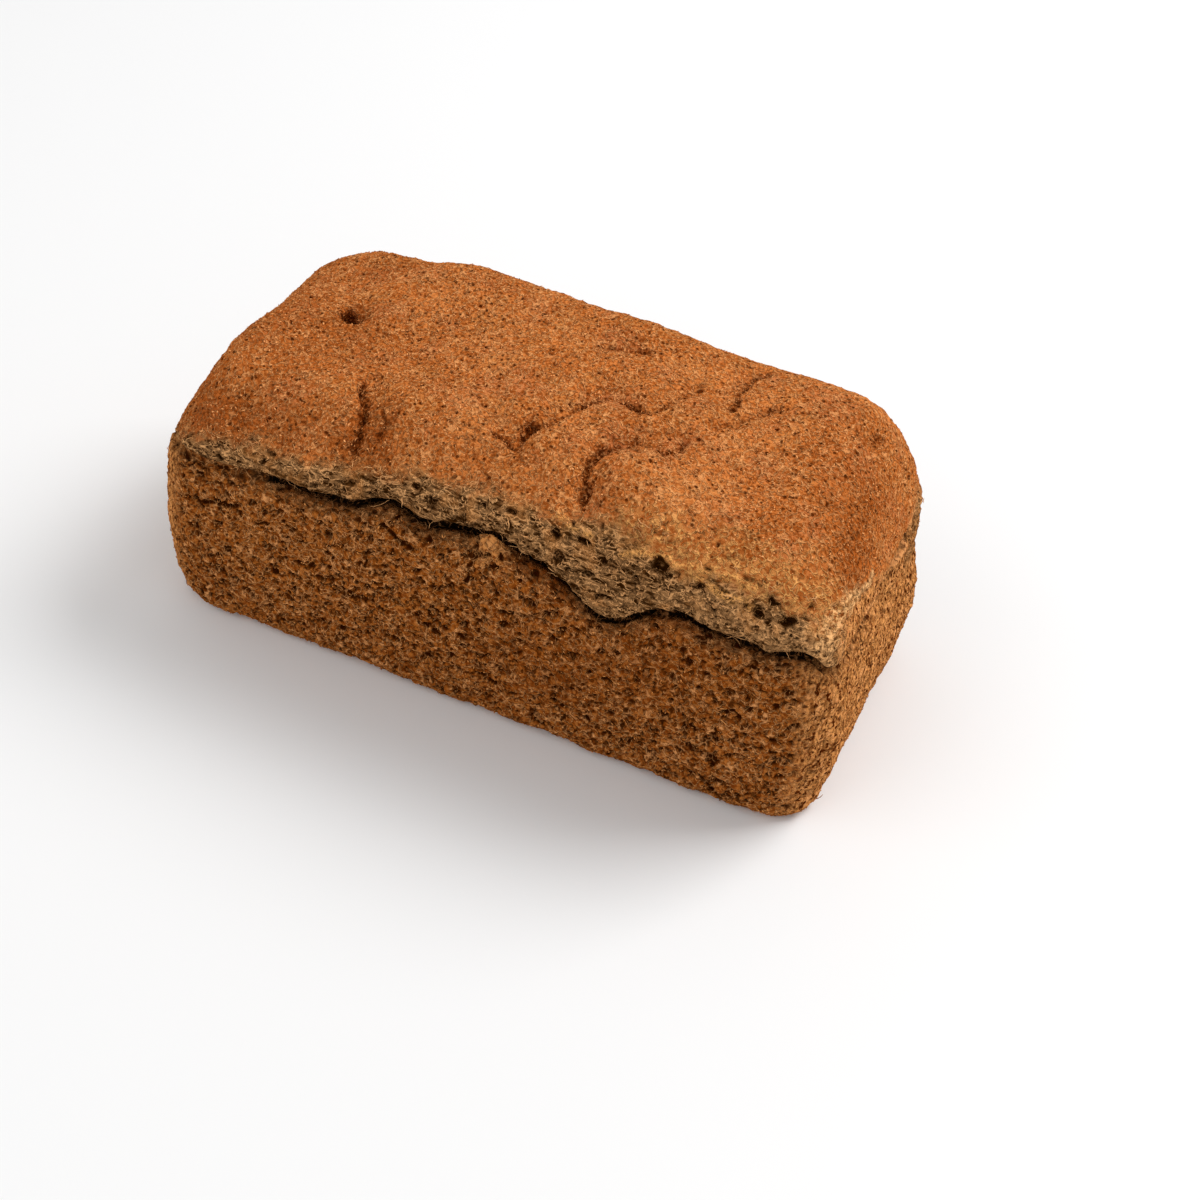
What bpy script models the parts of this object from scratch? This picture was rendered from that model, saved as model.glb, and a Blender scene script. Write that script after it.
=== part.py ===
"""A wholegrain sourdough loaf baked in a tin: one piece of bread, one solid.

Metres, +Z up. The origin is the middle of the flat underside, +X runs along the
loaf, and the long side where the crust tore open while it rose faces -Y.
The form is worked out in millimetres and scaled to metres at the end.
"""
import bmesh
import bpy
import numpy as np

MM = 0.001

# Driving dimensions, in millimetres
LENGTH = 236.0
WIDTH = 112.0
HEIGHT = 110.0

# The tin's form
CORNER_RADIUS = 19.0
FOOT_RADIUS = 6.3
LONG_WALL_LEAN = 4.5
END_WALL_LEAN = -0.6
LONG_WALL_BULGE = 1.2
END_WALL_BULGE = 3.2

# The risen crown: how far its shoulder reaches in, and how its corner radius falls
SHOULDER_REACH = 27.0
INNER_CORNER_RADIUS = 9.0
SPRING_HEIGHT = {"front_left": 62.0, "front_right": 79.0, "back_left": 43.0, "back_right": 50.0}
CROWN_BASE = 95.8
CROWN_ALONG = 9.4
CROWN_ACROSS = 4.2
CROWN_RISE_RIGHT = 6.5
CROWN_RISE_BACK = 3.1

# The tear on the front: its height along the loaf as a level and (centre, spread, height) swells
TEAR_LEVEL = 74.7
TEAR_SWELLS = (
    (-112.0, 30.0, -4.2),
    (-30.0, 12.0, 8.0),
    (-8.0, 12.0, 7.4),
    (10.0, 12.0, 7.9),
    (28.0, 10.0, 3.2),
    (46.0, 11.0, -7.7),
    (68.0, 12.0, 4.5),
    (90.0, 12.0, 4.4),
    (108.0, 12.0, 5.7),
)
# How far the tear gapes along the front, from closed (0) to fully open (1)
TEAR_SHUT = 0.15
TEAR_GAPES = (
    (-61.0, 14.0, 0.75),
    (-29.0, 16.0, 0.85),
    (8.0, 17.0, 0.85),
    (32.0, 10.0, 0.50),
    (54.0, 10.0, 0.30),
    (87.0, 19.0, 0.85),
)
# Where the crust meets the tin wall on the other three sides
SEAM_LEVEL = 70.0
SEAM_RISE_RIGHT = 0.5
SEAM_GAPE = 0.12
# The front gives way to the ends where the wall's outward direction turns by these shares
FRONT_TURN_START = 0.35
FRONT_TURN_SPAN = 0.5

# Section of the fully open tear: distance up the skin from it, push outward, lift
TEAR_SECTION = (
    (-9.0, 0.0, 0.0),
    (-3.2, -0.8, -0.6),
    (-1.6, -5.6, -2.0),
    (0.4, -6.0, 0.6),
    (1.6, 1.0, -0.3),
    (4.5, 2.6, -0.6),
    (9.0, 2.2, 0.0),
    (15.0, 1.0, 0.0),
    (24.0, 0.0, 0.0),
)

# Folds in the crown, each a run of plan points with its half width and depth
CROWN_FOLDS = (
    (((-51.0, -26.0), (-47.0, -35.0), (-45.0, -45.0)), 3.6, 2.2),
    (((-5.0, -28.0), (3.0, -32.0), (6.0, -25.0), (19.0, -6.0)), 3.8, 2.6),
    (((25.0, -5.0), (33.0, -5.0), (42.0, 10.0)), 3.8, 2.0),
    (((11.0, 16.0), (21.0, 21.0)), 3.6, 1.4),
    (((55.0, 7.0), (52.0, 17.0), (56.0, 28.0)), 3.8, 1.8),
    (((30.0, -41.0), (28.0, -31.0), (37.0, -19.0), (49.0, -15.0)), 4.2, 2.6),
    (((56.0, -5.0), (69.0, 10.0)), 3.6, 1.2),
)
# Soft bulges and hollows of the crown: plan centre, spread and height
CROWN_BULGES = (
    (47.0, -34.0, 16.0, 2.4),
    (17.0, -27.0, 12.0, 1.8),
    (-22.0, -18.0, 24.0, 1.6),
    (28.0, 6.0, 12.0, 1.6),
    (-66.0, -34.0, 17.0, 1.4),
    (-72.0, 22.0, 24.0, 1.0),
    (82.0, 18.0, 20.0, 1.2),
    (-48.0, 44.0, 22.0, 7.0),
    (-80.0, 40.0, 14.0, 4.5),
    (-14.0, 44.0, 14.0, 2.0),
    (36.0, 44.0, 15.0, -1.2),
    (68.0, 46.0, 16.0, 1.2),
    (-104.0, 36.0, 18.0, -1.8),
    (-106.0, -20.0, 18.0, 6.5),
    (96.0, 15.0, 6.0, -1.0),
)
POKE_HOLE = (-71.0, 0.0)
POKE_HOLE_RADIUS = 3.4
POKE_HOLE_DEPTH = 4.5

# Unevenness of a hand-shaped loaf: plan waves, each turning by (along, across) a millimetre, and a phase
WAVE_HEIGHT = 0.7
WAVES = ((0.055, 0.031, 0.6), (0.097, -0.083, 2.1), (-0.043, 0.121, 4.0))

# Mesh divisions
CELLS_LONG = 50
CELLS_SHORT = 24
FOOT_ROWS = 3
WALL_ROWS = 8
CROWN_ROWS = 6
SAMPLES = 120

CRUST_COLOUR = (0.235, 0.098, 0.042, 1.0)
CRUST_ROUGHNESS = 0.85


def swells(x, bumps):
    """Sum of smooth bumps along x."""
    total = np.zeros_like(x)
    for centre, spread, height in bumps:
        total += height * np.exp(-((x - centre) / spread) ** 2)
    return total


def side_of_plan(share, half_along, half_out, radius):
    """Points and outward directions of a rounded rectangle's lower side, mid-corner to mid-corner."""
    arc = np.pi / 4 * radius
    line = 2 * (half_along - radius)
    run = share * (2 * arc + line)
    turn = np.clip(run / radius, 0, np.pi / 4) - np.pi / 4
    turn = turn + np.clip((run - arc - line) / radius, 0, np.pi / 4)
    straight = np.clip(run - arc, 0, line)
    along = radius - half_along + straight + radius * np.sin(turn)
    out = half_out - radius + radius * np.cos(turn)
    return along, -out, np.sin(turn), -np.cos(turn)


def plan_ring(inset):
    """The plan outline, moved in by an inset, as points and outward directions, round from front left."""
    share_in = min(inset / SHOULDER_REACH, 1.0)
    radius = CORNER_RADIUS + (INNER_CORNER_RADIUS - CORNER_RADIUS) * share_in
    half_x = LENGTH / 2 - inset
    half_y = WIDTH / 2 - inset
    columns = []
    sides = ((half_x, half_y, CELLS_LONG), (half_y, half_x, CELLS_SHORT)) * 2
    for quarter, (half_along, half_out, cells) in enumerate(sides):
        x, y, dx, dy = side_of_plan(np.arange(cells) / cells, half_along, half_out, radius)
        for _ in range(quarter):
            x, y, dx, dy = -y, x, -dy, dx
        columns.append(np.stack([x, y, dx, dy]))
    return np.concatenate(columns, axis=1)


def spring_height(x, y):
    """Height where the upright wall turns into the crown's shoulder."""
    u = np.clip(0.5 + x / LENGTH, 0, 1)
    v = np.clip(0.5 + y / WIDTH, 0, 1)
    front = (1 - u) * SPRING_HEIGHT["front_left"] + u * SPRING_HEIGHT["front_right"]
    rear = (1 - u) * SPRING_HEIGHT["back_left"] + u * SPRING_HEIGHT["back_right"]
    return (1 - v) * front + v * rear


def fold_distance(x, y, run):
    """Distance in plan to a run of straight pieces."""
    nearest = np.full(np.shape(x), np.inf)
    for (ax, ay), (bx, by) in zip(run[:-1], run[1:]):
        dx, dy = bx - ax, by - ay
        share = np.clip(((x - ax) * dx + (y - ay) * dy) / (dx * dx + dy * dy), 0, 1)
        nearest = np.minimum(nearest, np.hypot(x - ax - share * dx, y - ay - share * dy))
    return nearest


def crown_relief(x, y):
    """Folds, bulges and the poke hole of the crown."""
    relief = np.zeros_like(x)
    for cx, cy, spread, height in CROWN_BULGES:
        relief += height * np.exp(-((x - cx) ** 2 + (y - cy) ** 2) / spread ** 2)
    for run, half_width, depth in CROWN_FOLDS:
        relief -= depth * np.exp(-(fold_distance(x, y, run) / half_width) ** 2)
    hole = np.hypot(x - POKE_HOLE[0], y - POKE_HOLE[1]) / POKE_HOLE_RADIUS
    return relief - POKE_HOLE_DEPTH * np.exp(-hole ** 2)


def crown_height(x, y):
    """Height of the crown over a point of the plan, without its relief."""
    u = x / (LENGTH / 2)
    v = y / (WIDTH / 2)
    dome = CROWN_ALONG * (1 - u * u) + CROWN_ACROSS * (1 - v * v)
    return CROWN_BASE + dome + CROWN_RISE_RIGHT * u + CROWN_RISE_BACK * v


def frontness(dy):
    """1 on the front, 0 on the other sides, smooth round the corners."""
    share = np.clip((-dy - FRONT_TURN_START) / FRONT_TURN_SPAN, 0, 1)
    return share * share * (3 - 2 * share)


def tear_height(x, dy):
    """Height of the tear on the front and of the seam on the other sides."""
    front = TEAR_LEVEL + swells(x, TEAR_SWELLS)
    seam = SEAM_LEVEL + SEAM_RISE_RIGHT * x / (LENGTH / 2)
    share = frontness(dy)
    return share * front + (1 - share) * seam


def tear_gape(x, dy):
    """How far the tear or the seam gapes, 0 to 1."""
    front = np.clip(TEAR_SHUT + swells(x, TEAR_GAPES), 0, 1)
    share = frontness(dy)
    return share * front + (1 - share) * SEAM_GAPE


def bare_skin():
    """The skin without tear or relief: points from foot to crown (rows) for each column of the ring."""
    x0, y0, dx, dy = plan_ring(0.0)
    lean = END_WALL_LEAN + (LONG_WALL_LEAN - END_WALL_LEAN) * dy * dy
    bulge = END_WALL_BULGE + (LONG_WALL_BULGE - END_WALL_BULGE) * dy * dy
    spring = spring_height(x0, y0)
    rows = []
    for turn in np.linspace(0, np.pi / 2, SAMPLES // 4, endpoint=False):
        z = np.full_like(x0, FOOT_RADIUS * (1 - np.cos(turn)))
        push = -lean * (1 - z / spring) - FOOT_RADIUS * (1 - np.sin(turn))
        rows.append((x0 + dx * push, y0 + dy * push, z))
    for share in np.linspace(0, 1, SAMPLES, endpoint=False):
        z = FOOT_RADIUS + (spring - FOOT_RADIUS) * share
        push = -lean * (1 - z / spring) + bulge * np.sin(np.pi * share)
        rows.append((x0 + dx * push, y0 + dy * push, z))
    for turn in np.linspace(0, np.pi / 2, SAMPLES):
        x, y, _, _ = plan_ring(SHOULDER_REACH * (1 - np.cos(turn)))
        rows.append((x, y, spring + (crown_height(x, y) - spring) * np.sin(turn)))
    return np.array(rows).transpose(2, 0, 1)


def row_places(length, foot, tear):
    """Distances up the skin where one column's rows lie."""
    section = [tear + place for place, _, _ in TEAR_SECTION]
    lower = np.linspace(0, foot, FOOT_ROWS, endpoint=False)
    wall = np.linspace(foot, section[0], WALL_ROWS, endpoint=False)
    crown = np.linspace(section[-1], length, CROWN_ROWS + 1)[1:]
    return np.concatenate([lower, wall, section, crown])


def skin_rows():
    """Rows of points round the loaf, foot to crown, with the tear and the relief."""
    x0, _, dx, dy = plan_ring(0.0)
    gape = tear_gape(x0, dy)
    tears = tear_height(x0, dy)
    columns = []
    for column, line in enumerate(bare_skin()):
        steps = np.linalg.norm(np.diff(line, axis=0), axis=1)
        distance = np.concatenate([[0.0], np.cumsum(steps)])
        tear = np.interp(tears[column], line[:, 2], distance)
        foot = np.interp(FOOT_RADIUS, line[:, 2], distance)
        places = row_places(distance[-1], foot, tear)
        points = np.stack([np.interp(places, distance, line[:, axis]) for axis in range(3)], axis=1)
        first = FOOT_ROWS + WALL_ROWS
        for offset, (_, push, lift) in enumerate(TEAR_SECTION):
            shift = np.array([dx[column] * push, dy[column] * push, lift])
            points[first + offset] += gape[column] * shift
        columns.append(points)
    return np.array(columns).transpose(1, 0, 2)


def crown_patch(rim):
    """Grid of plan points inside the crown's last row, filled between its four sides."""
    long, short = CELLS_LONG, CELLS_SHORT
    front = rim[:long + 1]
    right = rim[long:long + short + 1]
    rear = rim[long + short:2 * long + short + 1][::-1]
    left = np.concatenate([rim[2 * long + short:], rim[:1]])[::-1]
    s = (np.arange(long + 1) / long)[:, None, None]
    t = (np.arange(short + 1) / short)[None, :, None]
    sides = (1 - t) * front[:, None] + t * rear[:, None] + (1 - s) * left[None] + s * right[None]
    corners = (1 - s) * ((1 - t) * front[0] + t * rear[0]) + s * ((1 - t) * front[-1] + t * rear[-1])
    return sides - corners


def add_relief(points):
    """Lower and lift points by the crown's relief and the loaf's waves, more the higher they are."""
    x, y, z = points[..., 0], points[..., 1], points[..., 2]
    crown = np.clip((z - SEAM_LEVEL) / (CROWN_BASE - SEAM_LEVEL), 0, 1)
    height = np.clip(z / SEAM_LEVEL, 0, 1)
    wave = sum(np.sin(fx * x + fy * y + phase) for fx, fy, phase in WAVES)
    points[..., 2] = z + crown * crown_relief(x, y) + WAVE_HEIGHT * height * wave


def fit_to_size(point_sets):
    """Scale all points so that the loaf's box is exactly its length, width and height."""
    every = np.concatenate([points.reshape(-1, 3) for points in point_sets])
    low, high = every.min(axis=0), every.max(axis=0)
    size = np.array([LENGTH, WIDTH, HEIGHT])
    start = np.array([-LENGTH / 2, -WIDTH / 2, 0.0])
    return [(start + (points - low) * size / (high - low)) * MM for points in point_sets]


def loaf_mesh():
    """Closed mesh: flat underside, rings up the sides, and the crown's grid."""
    rows = skin_rows()
    patch = crown_patch(rows[-1])
    flat = patch[1:-1, 1:-1]
    flat[..., 2] = crown_height(flat[..., 0], flat[..., 1])
    add_relief(rows)
    add_relief(patch)
    rows, patch = fit_to_size([rows, patch])
    mesh = bmesh.new()
    rings = [[mesh.verts.new(point) for point in row] for row in rows]
    mesh.faces.new(rings[0][::-1])
    for lower, upper in zip(rings[:-1], rings[1:]):
        for here in range(len(lower)):
            after = (here + 1) % len(lower)
            mesh.faces.new((lower[here], lower[after], upper[after], upper[here]))
    fill_crown(mesh, rings[-1], patch)
    return mesh


def fill_crown(mesh, rim, patch):
    """Join the crown's grid to the last ring, which is the grid's own border."""
    long, short = CELLS_LONG, CELLS_SHORT
    grid = {}
    for i in range(long + 1):
        for j in range(short + 1):
            if j == 0:
                grid[i, j] = rim[i]
            elif i == long:
                grid[i, j] = rim[long + j]
            elif j == short:
                grid[i, j] = rim[2 * long + short - i]
            elif i == 0:
                grid[i, j] = rim[2 * long + 2 * short - j]
            else:
                grid[i, j] = mesh.verts.new(patch[i, j])
    for i in range(long):
        for j in range(short):
            mesh.faces.new((grid[i, j], grid[i + 1, j], grid[i + 1, j + 1], grid[i, j + 1]))


def crust_material():
    """Matt brown crust."""
    material = bpy.data.materials.new("crust")
    material.use_nodes = True
    shader = material.node_tree.nodes["Principled BSDF"]
    shader.inputs["Base Color"].default_value = CRUST_COLOUR
    shader.inputs["Roughness"].default_value = CRUST_ROUGHNESS
    return material


def build_loaf():
    """The loaf as one named object."""
    shape = loaf_mesh()
    mesh = bpy.data.meshes.new("loaf")
    shape.to_mesh(mesh)
    shape.free()
    mesh.shade_smooth()
    mesh.materials.append(crust_material())
    loaf = bpy.data.objects.new("loaf", mesh)
    bpy.context.scene.collection.objects.link(loaf)
    return loaf


for old in list(bpy.data.objects):
    bpy.data.objects.remove(old)
build_loaf()
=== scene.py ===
"""Looks of a tin-baked wholegrain sourdough loaf.

The loaf's skin is worked out in millimetres from the same form as the solid, but on a
mesh of about 0.8 mm, with the crust's grain, pores and cracks pushed into it. It is
made as two closed pieces that meet inside the tear: the crown and the tin-baked walls.
Bran flakes and threads of crumb lie scattered on them, one piece for each kind.
"""
import itertools
import math

import bpy
import numpy as np
from mathutils import Matrix, Vector


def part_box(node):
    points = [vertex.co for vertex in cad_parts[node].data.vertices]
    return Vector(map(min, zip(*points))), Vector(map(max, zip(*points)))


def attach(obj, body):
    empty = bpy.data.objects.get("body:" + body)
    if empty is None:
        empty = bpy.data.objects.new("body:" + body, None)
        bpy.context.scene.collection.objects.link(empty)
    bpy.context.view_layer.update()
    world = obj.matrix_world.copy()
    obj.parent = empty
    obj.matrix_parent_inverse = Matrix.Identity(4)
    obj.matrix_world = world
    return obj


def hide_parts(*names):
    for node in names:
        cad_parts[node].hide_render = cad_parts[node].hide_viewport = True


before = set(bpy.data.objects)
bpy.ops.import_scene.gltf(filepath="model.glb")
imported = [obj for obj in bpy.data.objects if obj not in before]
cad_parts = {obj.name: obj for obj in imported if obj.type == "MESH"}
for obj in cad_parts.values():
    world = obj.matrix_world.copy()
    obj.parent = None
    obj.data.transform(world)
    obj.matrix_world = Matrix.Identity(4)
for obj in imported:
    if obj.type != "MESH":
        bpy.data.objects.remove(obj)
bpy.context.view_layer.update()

MM = 0.001
EVEN = (1.0, 1.0, 1.0)
TINY = 1e-9

# The loaf's form, in millimetres
BOX_LOW, BOX_HIGH = (np.array(corner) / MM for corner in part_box("loaf"))
LENGTH, WIDTH = (BOX_HIGH - BOX_LOW)[:2]
CORNER_RADIUS = 19.0
FOOT_RADIUS = 6.3
LONG_WALL_LEAN = 4.5
END_WALL_LEAN = -0.6
LONG_WALL_BULGE = 1.2
END_WALL_BULGE = 3.2
SHOULDER_REACH = 27.0
INNER_CORNER_RADIUS = 9.0
SPRING_HEIGHT = {"front_left": 62.0, "front_right": 79.0, "back_left": 43.0, "back_right": 50.0}
CROWN_BASE = 95.8
CROWN_ALONG = 9.4
CROWN_ACROSS = 4.2
CROWN_RISE_RIGHT = 6.5
CROWN_RISE_BACK = 3.1

# The tear: its height along the front, and how far it gapes, as (centre, spread, height) swells
TEAR_LEVEL = 74.7
TEAR_SWELLS = (
    (-112.0, 30.0, -4.2),
    (-30.0, 12.0, 8.0),
    (-8.0, 12.0, 7.4),
    (10.0, 12.0, 7.9),
    (28.0, 10.0, 3.2),
    (46.0, 11.0, -7.7),
    (68.0, 12.0, 4.5),
    (90.0, 12.0, 4.4),
    (108.0, 12.0, 5.7),
)
TEAR_SHUT = 0.15
TEAR_GAPES = (
    (-61.0, 14.0, 0.75),
    (-29.0, 16.0, 0.85),
    (8.0, 17.0, 0.85),
    (32.0, 10.0, 0.50),
    (54.0, 10.0, 0.30),
    (87.0, 19.0, 0.85),
)
SEAM_LEVEL = 70.0
SEAM_RISE_RIGHT = 0.5
SEAM_GAPE = 0.12
FRONT_TURN_START = 0.35
FRONT_TURN_SPAN = 0.5

# Flap of wall that nearly shuts the tear: its middle, size and lift, and its ragged outline
TEAR_FLAP_ALONG = 5.5
TEAR_FLAP_HALF_WIDTH = 5.5
TEAR_FLAP_FOOT = 68.5
TEAR_FLAP_RISE = 2.4
TEAR_FLAP_PUSH = 1.0
TEAR_FLAP_SIDES = ((3.0, 1.2, 174),)
TEAR_FLAP_FOOT_NOISE = ((3.5, 1.5, 175),)

# Section of the fully open tear: distance up the skin from it, push outward, lift
TEAR_EDGE = -3.2
TEAR_MIDDLE = 0.4
TEAR_LIP = 1.6
TEAR_END = 24.0
TEAR_SECTION = np.array((
    (-9.0, 0.0, 0.0),
    (TEAR_EDGE, -0.8, -0.6),
    (-1.6, -5.6, -2.0),
    (TEAR_MIDDLE, -6.0, 0.6),
    (TEAR_LIP, 1.0, -0.3),
    (4.5, 2.6, -0.6),
    (9.0, 2.2, 0.0),
    (15.0, 1.0, 0.0),
    (TEAR_END, 0.0, 0.0),
))
# The walls' last rows, hidden inside the crown: row, distance past the tear and inward
WALL_TUCKS = ((-2, 2.0, 2.275), (-1, 4.0, 3.15))
# The crown's first row, hidden inside the walls: distance inward and up
CROWN_TUCK = 7.0
CROWN_TUCK_RISE = 1.0

# Folds in the crown: plan points, half width and depth
CROWN_FOLDS = (
    (((-51.0, -26.0), (-47.0, -35.0), (-45.0, -45.0)), 3.6, 2.2),
    (((-5.0, -28.0), (3.0, -32.0), (6.0, -25.0), (19.0, -6.0)), 3.8, 2.6),
    (((25.0, -5.0), (33.0, -5.0), (42.0, 10.0)), 3.8, 2.0),
    (((11.0, 16.0), (21.0, 21.0)), 3.6, 1.4),
    (((55.0, 7.0), (52.0, 17.0), (56.0, 28.0)), 3.8, 1.8),
    (((30.0, -41.0), (28.0, -31.0), (37.0, -19.0), (49.0, -15.0)), 4.2, 2.6),
    (((56.0, -5.0), (69.0, 10.0)), 3.6, 1.2),
)
CROWN_BULGES = (
    (47.0, -34.0, 16.0, 2.4),
    (17.0, -27.0, 12.0, 1.8),
    (-22.0, -18.0, 24.0, 1.6),
    (28.0, 6.0, 12.0, 1.6),
    (-66.0, -34.0, 17.0, 1.4),
    (-72.0, 22.0, 24.0, 1.0),
    (82.0, 18.0, 20.0, 1.2),
    (-48.0, 44.0, 22.0, 7.0),
    (-80.0, 40.0, 14.0, 4.5),
    (-14.0, 44.0, 14.0, 2.0),
    (36.0, 44.0, 15.0, -1.2),
    (68.0, 46.0, 16.0, 1.2),
    (-104.0, 36.0, 18.0, -1.8),
    (-106.0, -20.0, 18.0, 6.5),
    (96.0, 15.0, 6.0, -1.0),
)
POKE_HOLE = (-71.0, 0.0)
POKE_HOLE_RADIUS = 3.4
POKE_HOLE_DEPTH = 4.5
WAVE_HEIGHT = 0.7
WAVES = ((0.055, 0.031, 0.6), (0.097, -0.083, 2.1), (-0.043, 0.121, 4.0))

# Noise given in layers, each as lump size and height in millimetres, and seed
TEAR_EDGE_NOISE = ((6.0, 0.7, 11), (2.3, 0.25, 12))
TEAR_GAPE_NOISE = ((7.0, 0.30, 13), (2.6, 0.35, 14))
STRIP_EDGE_NOISE = ((7.0, 1.6, 21), (2.8, 1.6, 22), (1.3, 1.3, 23))
CORNER_EDGE_NOISE = ((4.0, 1.2, 24), (1.6, 1.0, 25))
CRUMB_LINES = (((8.0, 3.0, 1.5), 0.48, 71), ((3.6, 1.6, 0.9), 0.336, 72))
CRUMB_LUMPS = ((6.0, 0.45, 73), (2.4, 0.35, 74))
CRUST_GRAIN = ((11.0, 0.45, 81), (4.5, 0.30, 82), (2.2, 0.22, 83), (1.3, 0.22, 84))
END_EDGE_NOISE = ((11.0, 0.45, 85), (4.5, 0.30, 86), (2.2, 0.22, 87), (1.3, 0.22, 88))
CREASE_BENDS = (((3.6, 0.6, 91), (1.6, 0.5, 96)), ((3.6, 0.6, 92), (1.6, 0.5, 97)))
CREASE_NOISE = ((6.0, 0.30, 93), (2.0, 0.40, 98))
HOLE_BENDS = (((2.5, 1.5, 94),), ((2.5, 1.1, 95),))
TORN_EDGE_BENDS = (((3.0, 0.8, 99),), ((3.0, 0.5, 100),))
TORN_EDGE_NOISE = ((4.0, 0.5, 105),)
CROWN_BAKE_NOISE = ((17.0, 0.26, 101), (6.0, 0.22, 102))
RIM_EDGE_NOISE = ((3.0, 1.8, 103), (1.3, 1.0, 104))
WALL_ROUGHNESS = (((7.0, 7.0, 4.0), 0.50, 161), ((2.8, 2.8, 1.7), 0.38, 162))
END_STREAKS = (((1.5, 1.5, 12.0), 0.35, 163), ((3.2, 3.2, 24.0), 0.2, 170))
CRACK_BENDS = (((3.2, 1.2, 164), (1.4, 0.6, 166)), ((3.2, 1.3, 165), (1.4, 0.7, 167)))
CRACK_NOISE = ((3.6, 0.9, 168),)
WALL_SWELL_NOISE = ((14.0, 0.5, 169),)
PATCH_NOISE = ((2.5, 0.6, 172),)
WALL_BAKE_NOISE = ((16.0, 0.25, 173),)

# Shifts that make round hollows irregular: noise size, reach and seed
CROWN_WARP = (2.2, 0.6, 31)
CRUMB_WARP = (2.4, 0.8, 31)
WALL_WARP = (2.6, 1.0, 131)
DENT_WARP = (3.5, 1.4, 134)

# Scattered hollows
CROWN_PORES = {"cell": 3.0, "reach": (0.14, 0.30), "share": 0.6, "seed": 41}
CRUMB_HOLES = {"cell": 4.0, "reach": (0.18, 0.40), "share": 0.7, "seed": 51, "stretch": (1.8, 1.0, 0.8)}
CRUMB_PORES = {"cell": 2.2, "reach": (0.16, 0.40), "share": 0.8, "seed": 61, "stretch": (1.5, 1.0, 0.8)}
WALL_HOLES = {"cell": 4.2, "reach": (0.20, 0.42), "share": 0.5, "seed": 141, "stretch": (1.6, 1.6, 0.8)}
WALL_DENTS = {"cell": 7.5, "reach": (0.18, 0.36), "share": 0.4, "seed": 171, "stretch": (1.3, 1.3, 0.8)}
CROWN_DIMPLES = {"cell": 2.0, "seed": 45, "stretch": EVEN, "thread": 0.30}
WALL_NET = {"cell": 2.5, "seed": 151, "stretch": (1.3, 1.3, 0.85), "thread": 0.42}
WALL_FINE_NET = {"cell": 1.6, "seed": 156, "stretch": (1.1, 1.1, 0.9), "thread": 0.42}

# Depths in millimetres of those hollows
CROWN_PORE_DEPTH = 0.8
CROWN_DIMPLE_DEPTH = 0.5
CRUMB_HOLE_DEPTH = 2.4
CRUMB_PORE_DEPTH = 1.6
WALL_HOLE_DEPTH = 1.2
WALL_NET_DEPTH = 1.6
WALL_FINE_NET_DEPTH = 0.8
WALL_DENT_DEPTH = 1.2

# Level of the relief over the form in millimetres, and how much smoother the ends are
BASE_RELIEF = 0.5
END_SMOOTHNESS = 0.4
END_PIT_LOSS = 0.5

# Where regions fade in: heights and distances in millimetres, facings as a share of the direction
STRIP_FACING = (0.05, 0.45)
STRIP_EDGE = (-2.8, 1.8)
STRIP_FROM_TEAR = (1.2, 2.4)
CORNER_FADE = 0.3
TORN_FACING = (0.2, 0.5)
RIM_FACING = (0.0, 0.4)
RIM_RIGHT = (25.0, 60.0)
RIM_REACH_RIGHT = 4.0
RIM_LEFT_SHARE = 0.12
PALE_ALONG = (55.0, 85.0)
PALE_UP = (85.5, 90.0)
RED_ALONG = (-105.0, -45.0)
END_FACING = (0.35, 0.6)
END_EDGE = (-1.5, 1.0)
CEILING_FADE = (0.6, 1.8)
LIP_SHADE = (2.0, 8.0)
WALL_END_FACING = (0.30, 0.72)
WALL_FRONT_FACING = (0.5, 0.9)
WALL_STANDING = (0.5, 3.0)
WALL_FOOT = (2.0, 8.0)
WALL_RELIEF_END = (-3.0, -2.0)
FLOOR_FADE = (-3.1, -2.2)
WALL_EDGE = (-9.0, -4.0)
FLAP_FACING = (0.0, 0.4)
FLAP_UP = (-2.0, 1.5)
FLAP_FROM_TEAR = (-10.0, TEAR_EDGE)
FLAP_END = (-0.5, 0.3)
FLAP_COVER = 0.8

# Mesh divisions of the two pieces
CELLS_LONG = 280
CELLS_SHORT = 132
SAMPLES = 240
FOOT_SAMPLES = 60
WALL_ROWS = 88
FLOOR_ROWS = 12
CEILING_ROWS = 9
LIP_ROWS = 30
CROWN_ROWS = 27

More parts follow.
